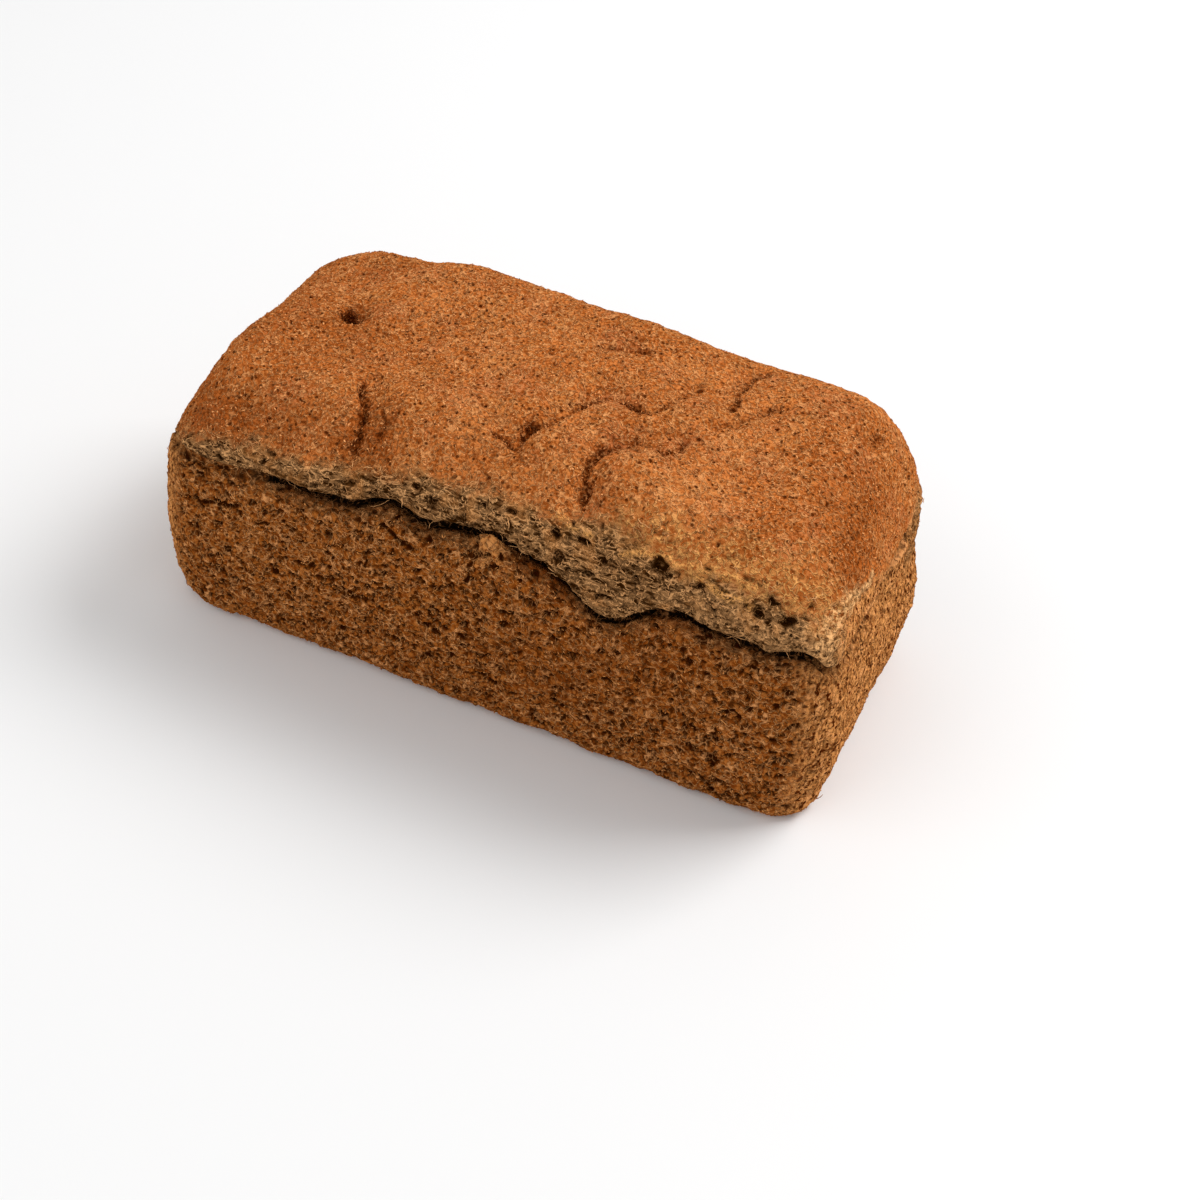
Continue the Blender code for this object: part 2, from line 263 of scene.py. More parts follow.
# Narrow creases along the bottoms of the folds: plan points, half width and depth
CREASES = (
    (((-4.7, -30.2), (-0.6, -31.0), (4.2, -33.5)), 0.9, 1.8),
    (((4.2, -33.5), (4.2, -29.5), (4.5, -25.4), (6.6, -23.0), (9.0, -21.8)), 1.2, 2.4),
    (((9.0, -21.8), (11.3, -17.8), (13.6, -14.3), (15.0, -9.4), (18.3, -5.9)), 0.9, 1.8),
    (((26.3, -4.7), (31.1, -5.3), (35.0, -5.4), (37.3, -3.3)), 1.2, 2.0),
    (((37.3, -3.3), (39.0, 3.8), (40.8, 9.1), (42.9, 13.6)), 0.9, 1.8),
    (((30.2, -41.6), (28.7, -37.3), (27.3, -33.8), (27.8, -29.6), (28.7, -26.6)), 1.1, 1.8),
    (((28.7, -26.6), (31.1, -23.5), (34.2, -21.0), (37.1, -18.9)), 0.9, 1.5),
    (((37.1, -18.9), (42.9, -21.5), (46.7, -20.7), (48.8, -16.4), (49.8, -12.6)), 1.0, 1.3),
    (((-52.0, -25.0), (-49.4, -30.2), (-45.5, -36.8), (-44.5, -41.8), (-45.1, -46.4)), 0.8, 2.0),
    (((-41.6, -34.1), (-37.1, -38.9), (-38.2, -42.3)), 1.2, 1.0),
    (((56.3, 7.4), (56.9, 10.7), (55.5, 15.4), (55.1, 21.1), (55.9, 28.5), (59.1, 31.0)), 1.2, 1.7),
    (((55.9, -2.8), (58.9, 1.8), (62.3, 5.3), (65.5, 9.4), (69.6, 15.4)), 0.9, 1.2),
    (((99.1, 20.7), (100.5, 26.9)), 1.2, 1.0),
    (((8.1, 16.4), (12.8, 17.3), (17.2, 19.0), (23.3, 20.4)), 1.0, 1.0),
)
VALLEY_HALF_WIDTH = 3.8
VALLEY_SHARE = 0.35
# Depths at which the painted shade of valleys and crease bottoms is full
VALLEY_DARK_DEPTH = 1.6
CREASE_DARK_DEPTH = 2.0
POKE_HOLE_EXTRA_DEPTH = 3.5
CROWN_SIDE = (78.0, 86.0)

# Spots of the crown baked darker (above 0) or lighter (below 0): middle, spread and share
BAKED_SPOTS = (
    ((-102.0, -43.0, 82.0), 11.0, 0.55),
    ((-86.0, -45.0, 86.0), 9.0, 0.60),
    ((-70.0, -46.0, 88.0), 8.0, 0.70),
    ((-46.0, -46.0, 90.0), 8.0, 0.70),
    ((-35.0, -45.0, 92.0), 7.0, 0.60),
    ((108.0, -22.0, 92.0), 13.0, 0.90),
    ((98.0, -14.0, 101.0), 12.0, 0.50),
    ((106.0, 5.0, 94.0), 12.0, 0.35),
    ((-88.0, -10.0, 98.0), 17.0, 0.45),
    ((-79.0, -34.0, 95.0), 9.0, 0.20),
    ((-74.0, 24.0, 100.0), 14.0, 0.30),
    ((-65.0, -9.0, 100.0), 12.0, 0.25),
    ((34.0, -38.0, 101.0), 6.0, 0.35),
    ((82.0, 3.0, 107.0), 10.0, -0.10),
    ((60.0, -34.0, 104.0), 11.0, -0.50),
    ((68.0, -30.0, 105.0), 8.0, -0.25),
    ((67.0, -43.0, 99.0), 8.0, -0.30),
    ((41.0, -29.0, 108.0), 7.0, -0.15),
    ((-8.0, -32.0, 104.0), 10.0, -0.40),
    ((19.0, -30.0, 104.0), 9.0, -0.40),
    ((-17.0, -26.0, 105.0), 12.0, -0.10),
    ((6.0, -9.0, 108.0), 9.0, -0.25),
    ((-57.0, -41.0, 94.0), 9.0, 0.35),
    ((-43.0, -38.0, 96.0), 8.0, 0.45),
    ((-19.0, -38.0, 98.0), 9.0, 0.25),
    ((99.0, 20.0, 102.0), 14.0, 0.40),
    ((108.0, 0.0, 92.0), 11.0, 0.35),
    ((107.0, -33.0, 93.0), 8.0, 0.40),
    ((14.0, 20.0, 108.0), 13.0, 0.30),
    ((46.0, -40.0, 102.0), 6.0, 0.25),
)
# Spots of the front wall painted darker, in the same way: the small ones at 19 and 28 mm along, just
# under the tear, are painted shade; the others darken the crust's tone
DARK_WALL_SPOTS = (
    ((60.0, -54.0, 48.0), 22.0, 0.75),
    ((19.0, -54.0, 77.0), 5.0, 0.90),
    ((28.0, -54.0, 74.0), 6.0, 0.90),
    ((30.0, -54.0, 30.0), 20.0, 0.50),
    ((10.0, -54.0, 50.0), 20.0, 0.30),
    ((66.0, -54.0, 74.0), 9.0, 0.40),
)

# Raised torn edges of the strip, lit gold: points as (along, up)
TORN_EDGES = (
    ((68.8, 91.8), (74.7, 90.9), (80.6, 90.0), (85.5, 89.1), (88.8, 88.6)),
    ((46.5, 89.8), (51.5, 92.0), (56.0, 92.8), (59.8, 93.5), (63.1, 92.6)),
    ((63.1, 92.6), (68.0, 93.4), (73.2, 94.0), (81.8, 93.9), (87.2, 93.0)),
    ((24.0, 94.0), (31.3, 92.3), (36.1, 92.2)),
)
TORN_EDGE_HALF_WIDTH = 0.8
TORN_EDGE_HEIGHT = 1.3

# Large holes in the torn strip: along, up, radius and depth
STRIP_HOLES = (
    (-98.1, 69.1, 1.0, 2.4),
    (-88.4, 73.7, 1.2, 2.7),
    (-42.3, 82.1, 1.0, 2.4),
    (-21.7, 87.3, 1.0, 2.4),
    (-15.6, 85.5, 1.3, 3.3),
    (25.7, 89.9, 1.1, 2.7),
    (28.5, 84.5, 1.4, 3.0),
    (37.4, 95.0, 1.1, 2.25),
    (58.9, 91.2, 1.8, 3.0),
    (71.5, 90.1, 1.1, 2.7),
    (90.5, 88.4, 1.2, 3.0),
    (99.0, 87.4, 1.6, 3.6),
    (94.0, 91.5, 1.0, 2.4),
    (104.0, 90.0, 1.0, 2.1),
    (10.5, 91.0, 1.3, 2.4),
)
STRIP_HOLE_STRETCH = 1.5
# Depth at which a strip hole is painted fully in shade
STRIP_HOLE_DARK_DEPTH = 3.2

# Upper edge of the torn strip of bare crumb: along and up
STRIP_TOP = np.array((
    (-118.0, 70.0),
    (-109.0, 73.0),
    (-95.0, 78.3),
    (-81.0, 82.0),
    (-60.0, 84.0),
    (-48.0, 86.0),
    (-38.0, 88.0),
    (-20.0, 91.0),
    (-1.0, 92.8),
    (14.0, 94.0),
    (26.0, 93.3),
    (36.0, 96.0),
    (43.0, 98.6),
    (56.0, 98.0),
    (66.0, 96.0),
    (75.0, 97.6),
    (95.0, 96.5),
    (105.0, 91.5),
    (113.0, 87.0),
))
# Bare crumb at the right front corner, each a line in space and its half width
CORNER_CRUMB = (
    (((109.9, -47.4, 79.2), (110.4, -43.1, 83.7), (110.7, -38.9, 86.1), (111.4, -34.2, 86.5)), 5.0),
    (((111.4, -34.2, 86.5), (112.4, -25.5, 84.7), (113.1, -14.1, 81.0)), 2.6),
)
# Loose edge of skin on the right end, a line in space with a painted highlight along it, and the bare
# patch behind it
END_RIDGE = (
    (114.4, -20.3, 72.9),
    (114.4, -14.4, 71.3),
    (114.2, -1.7, 70.3),
    (114.4, 9.8, 67.9),
    (114.3, 17.8, 66.5),
    (113.8, 24.6, 69.5),
    (112.3, 29.7, 73.9),
)
END_RIDGE_HALF_WIDTH = 0.9
END_RIDGE_HEIGHT = 0.9
END_PATCH = ((113.5, 37.0, 68.0), (114.7, 34.0, 58.0))
END_PATCH_SPREAD = 8.0
# Where the crown's colour ends on the right end: across and up
END_COLOUR_TOP = np.array((
    (-50.0, 78.0),
    (-43.0, 83.0),
    (-34.0, 86.0),
    (-25.0, 84.0),
    (-14.0, 80.0),
    (2.0, 72.0),
    (14.0, 66.0),
))

# Cracks in the front wall: points as (along, up), half width and depth
WALL_CRACKS = (
    (((-98.0, 54.0), (-86.0, 56.0), (-76.0, 61.0)), 0.9, 1.8),
    (((-53.0, 39.5), (-44.0, 36.5), (-34.0, 37.0)), 0.8, 1.3),
    (((-30.0, 72.0), (-25.0, 68.0), (-20.0, 66.5)), 0.8, 1.4),
    (((10.0, 54.0), (20.0, 57.5), (27.0, 56.0)), 0.8, 1.2),
    (((1.5, 78.0), (0.0, 69.5), (-1.0, 61.0)), 0.8, 1.2),
    (((9.0, 70.5), (4.0, 67.5), (0.0, 62.5), (-6.0, 56.5), (-10.0, 54.0)), 1.0, 1.6),
    (((75.0, 24.5), (80.0, 24.0), (85.0, 20.5)), 0.9, 1.6),
)

# Scattered bran flakes and crumb threads, in millimetres
SEED = 7
CROWN_FLAKES = 9000
WALL_FLAKES = 7000
FLAKE_LENGTH = (0.6, 1.7)
FLAKE_WIDTH = (0.3, 0.7)
FLAKE_THICKNESS = 0.10
FLAKE_RISE = 0.12
FLAKE_TILT = 0.28
FLAKE_SIDES = 5
FLAKE_RAGGEDNESS = 0.4
FLAKE_DARKEST = 0.0
STRIP_THREADS = 480
GAP_THREADS = 12
WALL_THREADS = 1300
THREAD_STEPS = 6
THREAD_STEP = (0.35, 0.70)
THREAD_RADIUS = (0.08, 0.15)
THREAD_BEND = 0.5
THREAD_CURL = 0.35
THREAD_ARCH = (0.1, 0.4)
THREAD_SINK = 0.25
THREAD_TIPS = (0.4, 0.3)
BRIDGE_MIN_GAPE = 0.3
BRIDGE_CELLS = 9
BRIDGE_SAG = 1.2
BRIDGE_SWAY = 1.5
BRIDGE_JITTER = 0.15
THREAD_SIDE_HELPER = (0.36, 0.48, 0.80)
THREAD_DARKEST = 0.1

# Where they lie: more threads at the strip's edges, and nothing close to the tear
EDGE_THREADS = 4.0
FIELD_THREADS = 0.25
STRIP_CLEAR_OF_TEAR = 3.0
WALL_CLEAR_OF_TEAR = 4.0
WALL_CLEAR_OF_FOOT = 4.0

# The camera, found from the photograph: degrees and millimetres from the underside's middle
CAMERA_AROUND = 20.4
CAMERA_ABOVE = 44.0
CAMERA_ROLL = 5.5
CAMERA_DISTANCE = 713.4
CAMERA_RIGHT = 21.6
CAMERA_UP = 5.4
CAMERA_LENS = 63.0

# Studio, in metres and watts: each lamp's name, place, size and power
LAMPS = (("key", (0.9, 0.8, 1.5), 1.0, 24), ("fill", (-0.9, -1.2, 1.2), 1.6, 8))
LAMP_AIM = (0, 0, 0.05)
SKY_STRENGTH = 0.55
FLOOR_HALF = 3.0
FLOOR_COLOUR = (0.9, 0.9, 0.9, 1)
FLOOR_ROUGHNESS = 0.9


def swells(x, bumps):
    """Sum of smooth bumps along x."""
    total = np.zeros_like(x)
    for centre, spread, height in bumps:
        total += height * np.exp(-((x - centre) / spread) ** 2)
    return total


def smooth_step(value, low, high):
    """0 below low, 1 above high, smooth between."""
    share = np.clip((value - low) / (high - low), 0, 1)
    return share * share * (3 - 2 * share)


def cell_number(cells, seed):
    """An evenly spread number from 0 to 1 for each whole-number cell."""
    x, y, z = (cells[..., axis].astype(np.int64).astype(np.uint32) for axis in range(3))
    mixed = x * np.uint32(0x8DA6B343) + y * np.uint32(0xD8163841) + z * np.uint32(0xCB1AB31F)
    mixed = mixed + np.uint32(seed * 0x9E3779B1 % 2 ** 32)
    mixed = (mixed ^ (mixed >> np.uint32(15))) * np.uint32(0x85EBCA6B)
    mixed = (mixed ^ (mixed >> np.uint32(13))) * np.uint32(0xC2B2AE35)
    return ((mixed ^ (mixed >> np.uint32(16))) & np.uint32(0xFFFFFF)) / float(0xFFFFFF)


def noise(points, scale, seed):
    """Smooth noise from -1 to 1 with lumps of about that scale."""
    place = points / np.asarray(scale, float)
    cell = np.floor(place)
    blend = place - cell
    blend = blend * blend * (3 - 2 * blend)
    total = np.zeros(points.shape[:-1])
    for corner in itertools.product((0, 1), repeat=3):
        weight = np.prod(np.where(np.array(corner), blend, 1 - blend), axis=-1)
        total += weight * cell_number(cell + corner, seed)
    return 2 * total - 1


def near_cells(place, seed):
    """The cells of space round each place, with the middle that each of them has drawn."""
    base = np.floor(place)
    for offset in itertools.product((-1, 0, 1), repeat=3):
        near = base + offset
        yield near, near + np.stack([cell_number(near, seed + k) for k in (1, 2, 3)], axis=-1)


def layers(points, sizes):
    """Sum of noises, each given as lump size, height and seed."""
    return sum(height * noise(points, size, seed) for size, height, seed in sizes)


def bent_pair(points, axis, bends):
    """The points' places along X and another axis, each shifted by its own noise."""
    return points[:, 0] + layers(points, bends[0]), points[:, axis] + layers(points, bends[1])


def hollows(points, cell, reach, share, seed, stretch=EVEN):
    """Depth from 0 to 1 of scattered round hollows: a cell of space holds one at most."""
    place = points / (cell * np.asarray(stretch, float))
    depth = np.zeros(points.shape[:-1])
    for near, centre in near_cells(place, seed):
        there = cell_number(near, seed) < share
        radius = reach[0] + (reach[1] - reach[0]) * cell_number(near, seed + 4)
        gap = ((place - centre) ** 2).sum(axis=-1) / radius ** 2
        strength = 0.5 + 0.5 * cell_number(near, seed + 5)
        depth = np.maximum(depth, there * strength * np.clip(1 - gap, 0, 1) ** 0.75)
    return depth


def net_hollows(points, cell, seed, stretch, thread):
    """Depth from 0 to 1 of hollows that fill the cells of a net, some deep and most shallow."""
    place = points / (cell * np.asarray(stretch, float))
    nearest = np.full(points.shape[:-1], np.inf)
    second = nearest.copy()
    chance = np.zeros(points.shape[:-1])
    for near, centre in near_cells(place, seed):
        gap = np.linalg.norm(place - centre, axis=-1)
        closer = gap < nearest
        second = np.where(closer, nearest, np.minimum(second, gap))
        chance = np.where(closer, cell_number(near, seed + 4), chance)
        nearest = np.where(closer, gap, nearest)
    return smooth_step(second - nearest, 0.04, thread) * chance ** 1.6


def side_of_plan(share, half_along, half_out, radius):
    """Points and outward directions of a rounded rectangle's lower side, from corner to corner."""
    arc = np.pi / 4 * radius
    line = 2 * (half_along - radius)
    run = share * (2 * arc + line)
    turn = np.clip(run / radius, 0, np.pi / 4) - np.pi / 4
    turn = turn + np.clip((run - arc - line) / radius, 0, np.pi / 4)
    straight = np.clip(run - arc, 0, line)
    along = radius - half_along + straight + radius * np.sin(turn)
    out = half_out - radius + radius * np.cos(turn)
    return along, -out, np.sin(turn), -np.cos(turn)


def plan_ring(inset):
    """The plan outline, moved in by an inset: points and outward directions, from front left."""
    share_in = min(inset / SHOULDER_REACH, 1.0)
    radius = CORNER_RADIUS + (INNER_CORNER_RADIUS - CORNER_RADIUS) * share_in
    half_x = LENGTH / 2 - inset
    half_y = WIDTH / 2 - inset
    columns = []
    sides = ((half_x, half_y, CELLS_LONG), (half_y, half_x, CELLS_SHORT)) * 2
    for quarter, (half_along, half_out, cells) in enumerate(sides):
        x, y, dx, dy = side_of_plan(np.arange(cells) / cells, half_along, half_out, radius)
        for _ in range(quarter):
            x, y, dx, dy = -y, x, -dy, dx
        columns.append(np.stack([x, y, dx, dy]))
    return np.concatenate(columns, axis=1)


def spring_height(x, y):
    """Height where the upright wall turns into the crown's shoulder."""
    u = np.clip(0.5 + x / LENGTH, 0, 1)
    v = np.clip(0.5 + y / WIDTH, 0, 1)
    front = (1 - u) * SPRING_HEIGHT["front_left"] + u * SPRING_HEIGHT["front_right"]
    rear = (1 - u) * SPRING_HEIGHT["back_left"] + u * SPRING_HEIGHT["back_right"]
    return (1 - v) * front + v * rear


def run_distance(x, y, run):
    """Distance from points to a run of straight pieces."""
    nearest = np.full(np.shape(x), np.inf)
    for (ax, ay), (bx, by) in zip(run[:-1], run[1:]):
        dx, dy = bx - ax, by - ay
        share = np.clip(((x - ax) * dx + (y - ay) * dy) / (dx * dx + dy * dy), 0, 1)
        nearest = np.minimum(nearest, np.hypot(x - ax - share * dx, y - ay - share * dy))
    return nearest


def crown_relief(x, y):
    """Folds, bulges and the poke hole of the crown."""
    relief = np.zeros_like(x)
    for cx, cy, spread, height in CROWN_BULGES:
        relief += height * np.exp(-((x - cx) ** 2 + (y - cy) ** 2) / spread ** 2)
    for run, half_width, depth in CROWN_FOLDS:
        relief -= depth * np.exp(-(run_distance(x, y, run) / half_width) ** 2)
    hole = np.hypot(x - POKE_HOLE[0], y - POKE_HOLE[1]) / POKE_HOLE_RADIUS
    return relief - POKE_HOLE_DEPTH * np.exp(-hole ** 2)


def crown_height(x, y):
    """Height of the crown over a point of the plan, without its relief."""
    u = x / (LENGTH / 2)
    v = y / (WIDTH / 2)
    dome = CROWN_ALONG * (1 - u * u) + CROWN_ACROSS * (1 - v * v)
    return CROWN_BASE + dome + CROWN_RISE_RIGHT * u + CROWN_RISE_BACK * v


def frontness(dy):
    """1 on the front, 0 on the other sides, smooth round the corners."""
    return smooth_step(-dy, FRONT_TURN_START, FRONT_TURN_START + FRONT_TURN_SPAN)


def tear_height(x, y, dy):
    """Height of the tear on the front and of the seam on the other sides, with a ragged edge."""
    front = TEAR_LEVEL + swells(x, TEAR_SWELLS)
    seam = SEAM_LEVEL + SEAM_RISE_RIGHT * x / (LENGTH / 2)
    share = frontness(dy)
    places = np.stack([x, y, 0 * x], axis=-1)
    return share * front + (1 - share) * seam + layers(places, TEAR_EDGE_NOISE)


def tear_gape(x, y, dy):
    """How far the tear or the seam gapes, 0 to 1."""
    front = np.clip(TEAR_SHUT + swells(x, TEAR_GAPES), 0, 1)
    share = frontness(dy)
    places = np.stack([x, y, 0 * x], axis=-1)
    return (share * front + (1 - share) * SEAM_GAPE) * (1 + layers(places, TEAR_GAPE_NOISE))


def bare_skin():
    """The skin without tear or relief: points from foot to crown for each column of the ring."""
    x0, y0, dx, dy = plan_ring(0.0)
    lean = END_WALL_LEAN + (LONG_WALL_LEAN - END_WALL_LEAN) * dy * dy
    bulge = END_WALL_BULGE + (LONG_WALL_BULGE - END_WALL_BULGE) * dy * dy
    spring = spring_height(x0, y0)
    rows = []
    for turn in np.linspace(0, np.pi / 2, FOOT_SAMPLES, endpoint=False):
        z = np.full_like(x0, FOOT_RADIUS * (1 - np.cos(turn)))
        push = -lean * (1 - z / spring) - FOOT_RADIUS * (1 - np.sin(turn))
        rows.append((x0 + dx * push, y0 + dy * push, z))
    for share in np.linspace(0, 1, SAMPLES, endpoint=False):
        z = FOOT_RADIUS + (spring - FOOT_RADIUS) * share
        push = -lean * (1 - z / spring) + bulge * np.sin(np.pi * share)
        rows.append((x0 + dx * push, y0 + dy * push, z))
    for turn in np.linspace(0, np.pi / 2, SAMPLES):
        x, y, _, _ = plan_ring(SHOULDER_REACH * (1 - np.cos(turn)))
        rows.append((x, y, spring + (crown_height(x, y) - spring) * np.sin(turn)))
    return np.array(rows).transpose(2, 0, 1)


def skin_rows(places_of):
    """Rows of points round the loaf, and each point's distance up the skin from the tear."""
    x0, y0, dx, dy = plan_ring(0.0)
    gape = tear_gape(x0, y0, dy)
    tears = tear_height(x0, y0, dy)
    points, offsets = [], []
    for column, line in enumerate(bare_skin()):
        steps = np.linalg.norm(np.diff(line, axis=0), axis=1)
        distance = np.concatenate([[0.0], np.cumsum(steps)])
        tear = np.interp(tears[column], line[:, 2], distance)
        places = places_of(tear, distance[-1])
        row = np.stack([np.interp(places, distance, line[:, axis]) for axis in range(3)], axis=1)
        offset = places - tear
        push = gape[column] * np.interp(offset, TEAR_SECTION[:, 0], TEAR_SECTION[:, 1])
        lift = gape[column] * np.interp(offset, TEAR_SECTION[:, 0], TEAR_SECTION[:, 2])
        row += np.outer(push, (dx[column], dy[column], 0.0))
        row[:, 2] += lift
        points.append(row)
        offsets.append(offset)
    return np.array(points).transpose(1, 0, 2), np.array(offsets).T


def crown_patch(rim):
    """Grid of points inside the crown's last row, filled between its four sides."""
    long, short = CELLS_LONG, CELLS_SHORT
    front = rim[:long + 1]
    right = rim[long:long + short + 1]
    rear = rim[long + short:2 * long + short + 1][::-1]
    left = np.concatenate([rim[2 * long + short:], rim[:1]])[::-1]
    s = (np.arange(long + 1) / long)[:, None, None]
    t = (np.arange(short + 1) / short)[None, :, None]
    sides = (1 - t) * front[:, None] + t * rear[:, None] + (1 - s) * left[None] + s * right[None]
    corners = (1 - s) * ((1 - t) * front[0] + t * rear[0]) + s * ((1 - t) * front[-1] + t * rear[-1])
    patch = sides - corners
    inside = patch[1:-1, 1:-1]
    inside[..., 2] = crown_height(inside[..., 0], inside[..., 1])
    return patch


def add_form_relief(points):
    """The folds, bulges and waves that the solid has too."""
    x, y, z = points[..., 0], points[..., 1], points[..., 2]
    crown = np.clip((z - SEAM_LEVEL) / (CROWN_BASE - SEAM_LEVEL), 0, 1)
    height = np.clip(z / SEAM_LEVEL, 0, 1)
    wave = sum(np.sin(fx * x + fy * y + phase) for fx, fy, phase in WAVES)
    points[..., 2] = z + crown * crown_relief(x, y) + WAVE_HEIGHT * height * wave


class Skin:
    """Points, quads and per-point values of one piece while it is being made."""

    def __init__(self, points, offsets):
        self.points = points
        self.offsets = offsets
        self.gape = tear_gape(points[:, 0], points[:, 1], self.plan_facing())
        self.faces = []

    def plan_facing(self):
        """Rough share of the outward direction along Y, from a point's place in plan."""
        x = np.abs(self.points[:, 0]) - (LENGTH / 2 - CORNER_RADIUS)
        y = np.abs(self.points[:, 1]) - (WIDTH / 2 - CORNER_RADIUS)
        turn = np.arctan2(np.maximum(y, 0.0), np.maximum(x, 0.0))
        return np.sign(self.points[:, 1]) * np.sin(turn)

    def ring_faces(self, rows, around):
        """Quads between neighbouring rows of a ring."""
        lower = np.arange(rows - 1)[:, None] * around + np.arange(around)[None]
        after = np.arange(rows - 1)[:, None] * around + (np.arange(around)[None] + 1) % around
        quads = np.stack([lower, after, after + around, lower + around], axis=-1)
        self.faces.extend(quads.reshape(-1, 4).tolist())

    def normals(self):
        """Outward direction at each point, from the faces round it."""
        quads = np.array([face for face in self.faces if len(face) == 4])
        corner = self.points[quads]
        across = np.cross(corner[:, 2] - corner[:, 0], corner[:, 3] - corner[:, 1])
        total = np.zeros_like(self.points)
        for k in range(4):
            np.add.at(total, quads[:, k], across)
        return total / np.maximum(np.linalg.norm(total, axis=1, keepdims=True), TINY)


def wall_places(tear, _):
    """Places of the wall piece's rows: up the wall, into the tear, and a tuck inside the crown."""
    wall = np.linspace(0, tear + TEAR_EDGE, WALL_ROWS, endpoint=False)
    floor = np.linspace(tear + TEAR_EDGE, tear + TEAR_MIDDLE, FLOOR_ROWS)
    return np.concatenate([wall, floor, [tear + up for _, up, _ in WALL_TUCKS]])


def crown_places(tear, length):
    """Places of the crown piece's rows: the tear's ceiling, the lip and the shoulder."""
    ceiling = np.linspace(tear + TEAR_MIDDLE, tear + TEAR_LIP, CEILING_ROWS, endpoint=False)
    lip = np.linspace(tear + TEAR_LIP, tear + TEAR_END, LIP_ROWS, endpoint=False)
    return np.concatenate([ceiling, lip, np.linspace(tear + TEAR_END, length, CROWN_ROWS)])


def wall_skin():
    """The walls, the flat underside and a hidden top inside the crown."""
    rows, offsets = skin_rows(wall_places)
    add_form_relief(rows)
    _, _, dx, dy = plan_ring(0.0)
    for row, _, inward in WALL_TUCKS:
        rows[row, :, 0] = rows[-3, :, 0] - dx * inward
        rows[row, :, 1] = rows[-3, :, 1] - dy * inward
    count, around = rows.shape[:2]
    middle = np.array([[0.0, 0.0, rows[-1, :, 2].mean()]])
    points = np.concatenate([rows.reshape(-1, 3), middle])
    skin = Skin(points, np.append(offsets.ravel(), 0.0))
    skin.ring_faces(count, around)
    last = (count - 1) * around
    skin.faces.append(list(range(around))[::-1])
    skin.faces.extend([last + k, last + (k + 1) % around, len(points) - 1] for k in range(around))
    return skin


def top_quads(ring, inner):
    """Quads of the crown's top, given the first points of its last row and of its inner grid."""
    long, short = CELLS_LONG, CELLS_SHORT
    grid = np.zeros((long + 1, short + 1), int)
    grid[:, 0] = ring + np.arange(long + 1)
    grid[long, :] = ring + long + np.arange(short + 1)
    grid[:, short] = ring + 2 * long + short - np.arange(long + 1)
    grid[0, 1:] = ring + 2 * long + 2 * short - np.arange(1, short + 1)
    grid[1:-1, 1:-1] = inner + np.arange((long - 1) * (short - 1)).reshape(long - 1, short - 1)
    cells = np.stack([grid[:-1, :-1], grid[1:, :-1], grid[1:, 1:], grid[:-1, 1:]], axis=-1)
    return cells.reshape(-1, 4).tolist()


def crown_skin():
    """The crown down to the tear's ceiling, closed by a hidden face inside."""
    rows, offsets = skin_rows(crown_places)
    patch = crown_patch(rows[-1])
    add_form_relief(rows)
    add_form_relief(patch)
    _, _, dx, dy = plan_ring(0.0)
    inner = rows[:1].copy()
    inner[..., 0] -= dx * CROWN_TUCK
    inner[..., 1] -= dy * CROWN_TUCK
    inner[..., 2] += CROWN_TUCK_RISE
    rows = np.concatenate([inner, rows])
    offsets = np.concatenate([offsets[:1], offsets])
    count, around = rows.shape[:2]
    inside = patch[1:-1, 1:-1].reshape(-1, 3)
    middle = np.array([[0.0, 0.0, inner[..., 2].mean()]])
    points = np.concatenate([rows.reshape(-1, 3), inside, middle])
    far = np.full(len(inside) + 1, offsets.max())
    skin = Skin(points, np.append(offsets.ravel(), far))
    skin.ring_faces(count, around)
    skin.faces.extend([(k + 1) % around, k, len(points) - 1] for k in range(around))
    skin.faces.extend(top_quads((count - 1) * around, count * around))
    return skin


def warped(points, scale, reach, seed):
    """Points shifted by noise, so that round hollows come out irregular."""
    shift = np.stack([noise(points, scale, seed + axis) for axis in range(3)], axis=-1)
    return points + reach * shift


def line_distance(points, line):
    """Distance from points to a line of straight pieces in space."""
    nearest = np.full(len(points), np.inf)
    for start, end in zip(np.array(line[:-1]), np.array(line[1:])):
        ahead = end - start
        share = np.clip((points - start) @ ahead / (ahead @ ahead), 0, 1)
        nearest = np.minimum(nearest, np.linalg.norm(points - start - share[:, None] * ahead, axis=1))
    return nearest


def above_strip(points):
    """Height of points over the upper edge of the torn strip."""
    return points[:, 2] - np.interp(points[:, 0], STRIP_TOP[:, 0], STRIP_TOP[:, 1])


def strip_share(points, front):
    """How far a point of the crown belongs to the torn strip of bare crumb, 0 to 1."""
    over = above_strip(points) + layers(points, STRIP_EDGE_NOISE)
    strip = smooth_step(front, *STRIP_FACING) * (1 - smooth_step(over, *STRIP_EDGE))
    return np.maximum(np.maximum(strip, end_patch(points)), corner_share(points))


def corner_share(points):
    """How far a point belongs to the bare pale crumb of the right front corner, 0 to 1."""
    ragged = layers(points, CORNER_EDGE_NOISE)
    share = np.zeros(len(points))
    for line, half_width in CORNER_CRUMB:
        gap = line_distance(points, line) + ragged
        share = np.maximum(share, 1 - smooth_step(gap, CORNER_FADE * half_width, half_width))
    return share


def end_ridge(points):
    """1 along the loose edge of skin on the right end, 0 away from it."""
    return np.exp(-(line_distance(points, END_RIDGE) / END_RIDGE_HALF_WIDTH) ** 2)


def end_patch(points):
    """Ragged patch of bare crumb on the right end, 0 to 1."""
    patch = np.exp(-(line_distance(points, END_PATCH) / END_PATCH_SPREAD) ** 4)
    return np.clip(patch * (0.8 + layers(points, PATCH_NOISE)), 0, 1)


def end_share(points, facing):
    """How far a point of the crown has the paler colour of the right end, 0 to 1."""
    over = points[:, 2] - np.interp(points[:, 1], *END_COLOUR_TOP.T) + layers(points, END_EDGE_NOISE)
    return smooth_step(facing[:, 0], *END_FACING) * (1 - smooth_step(over, *END_EDGE))


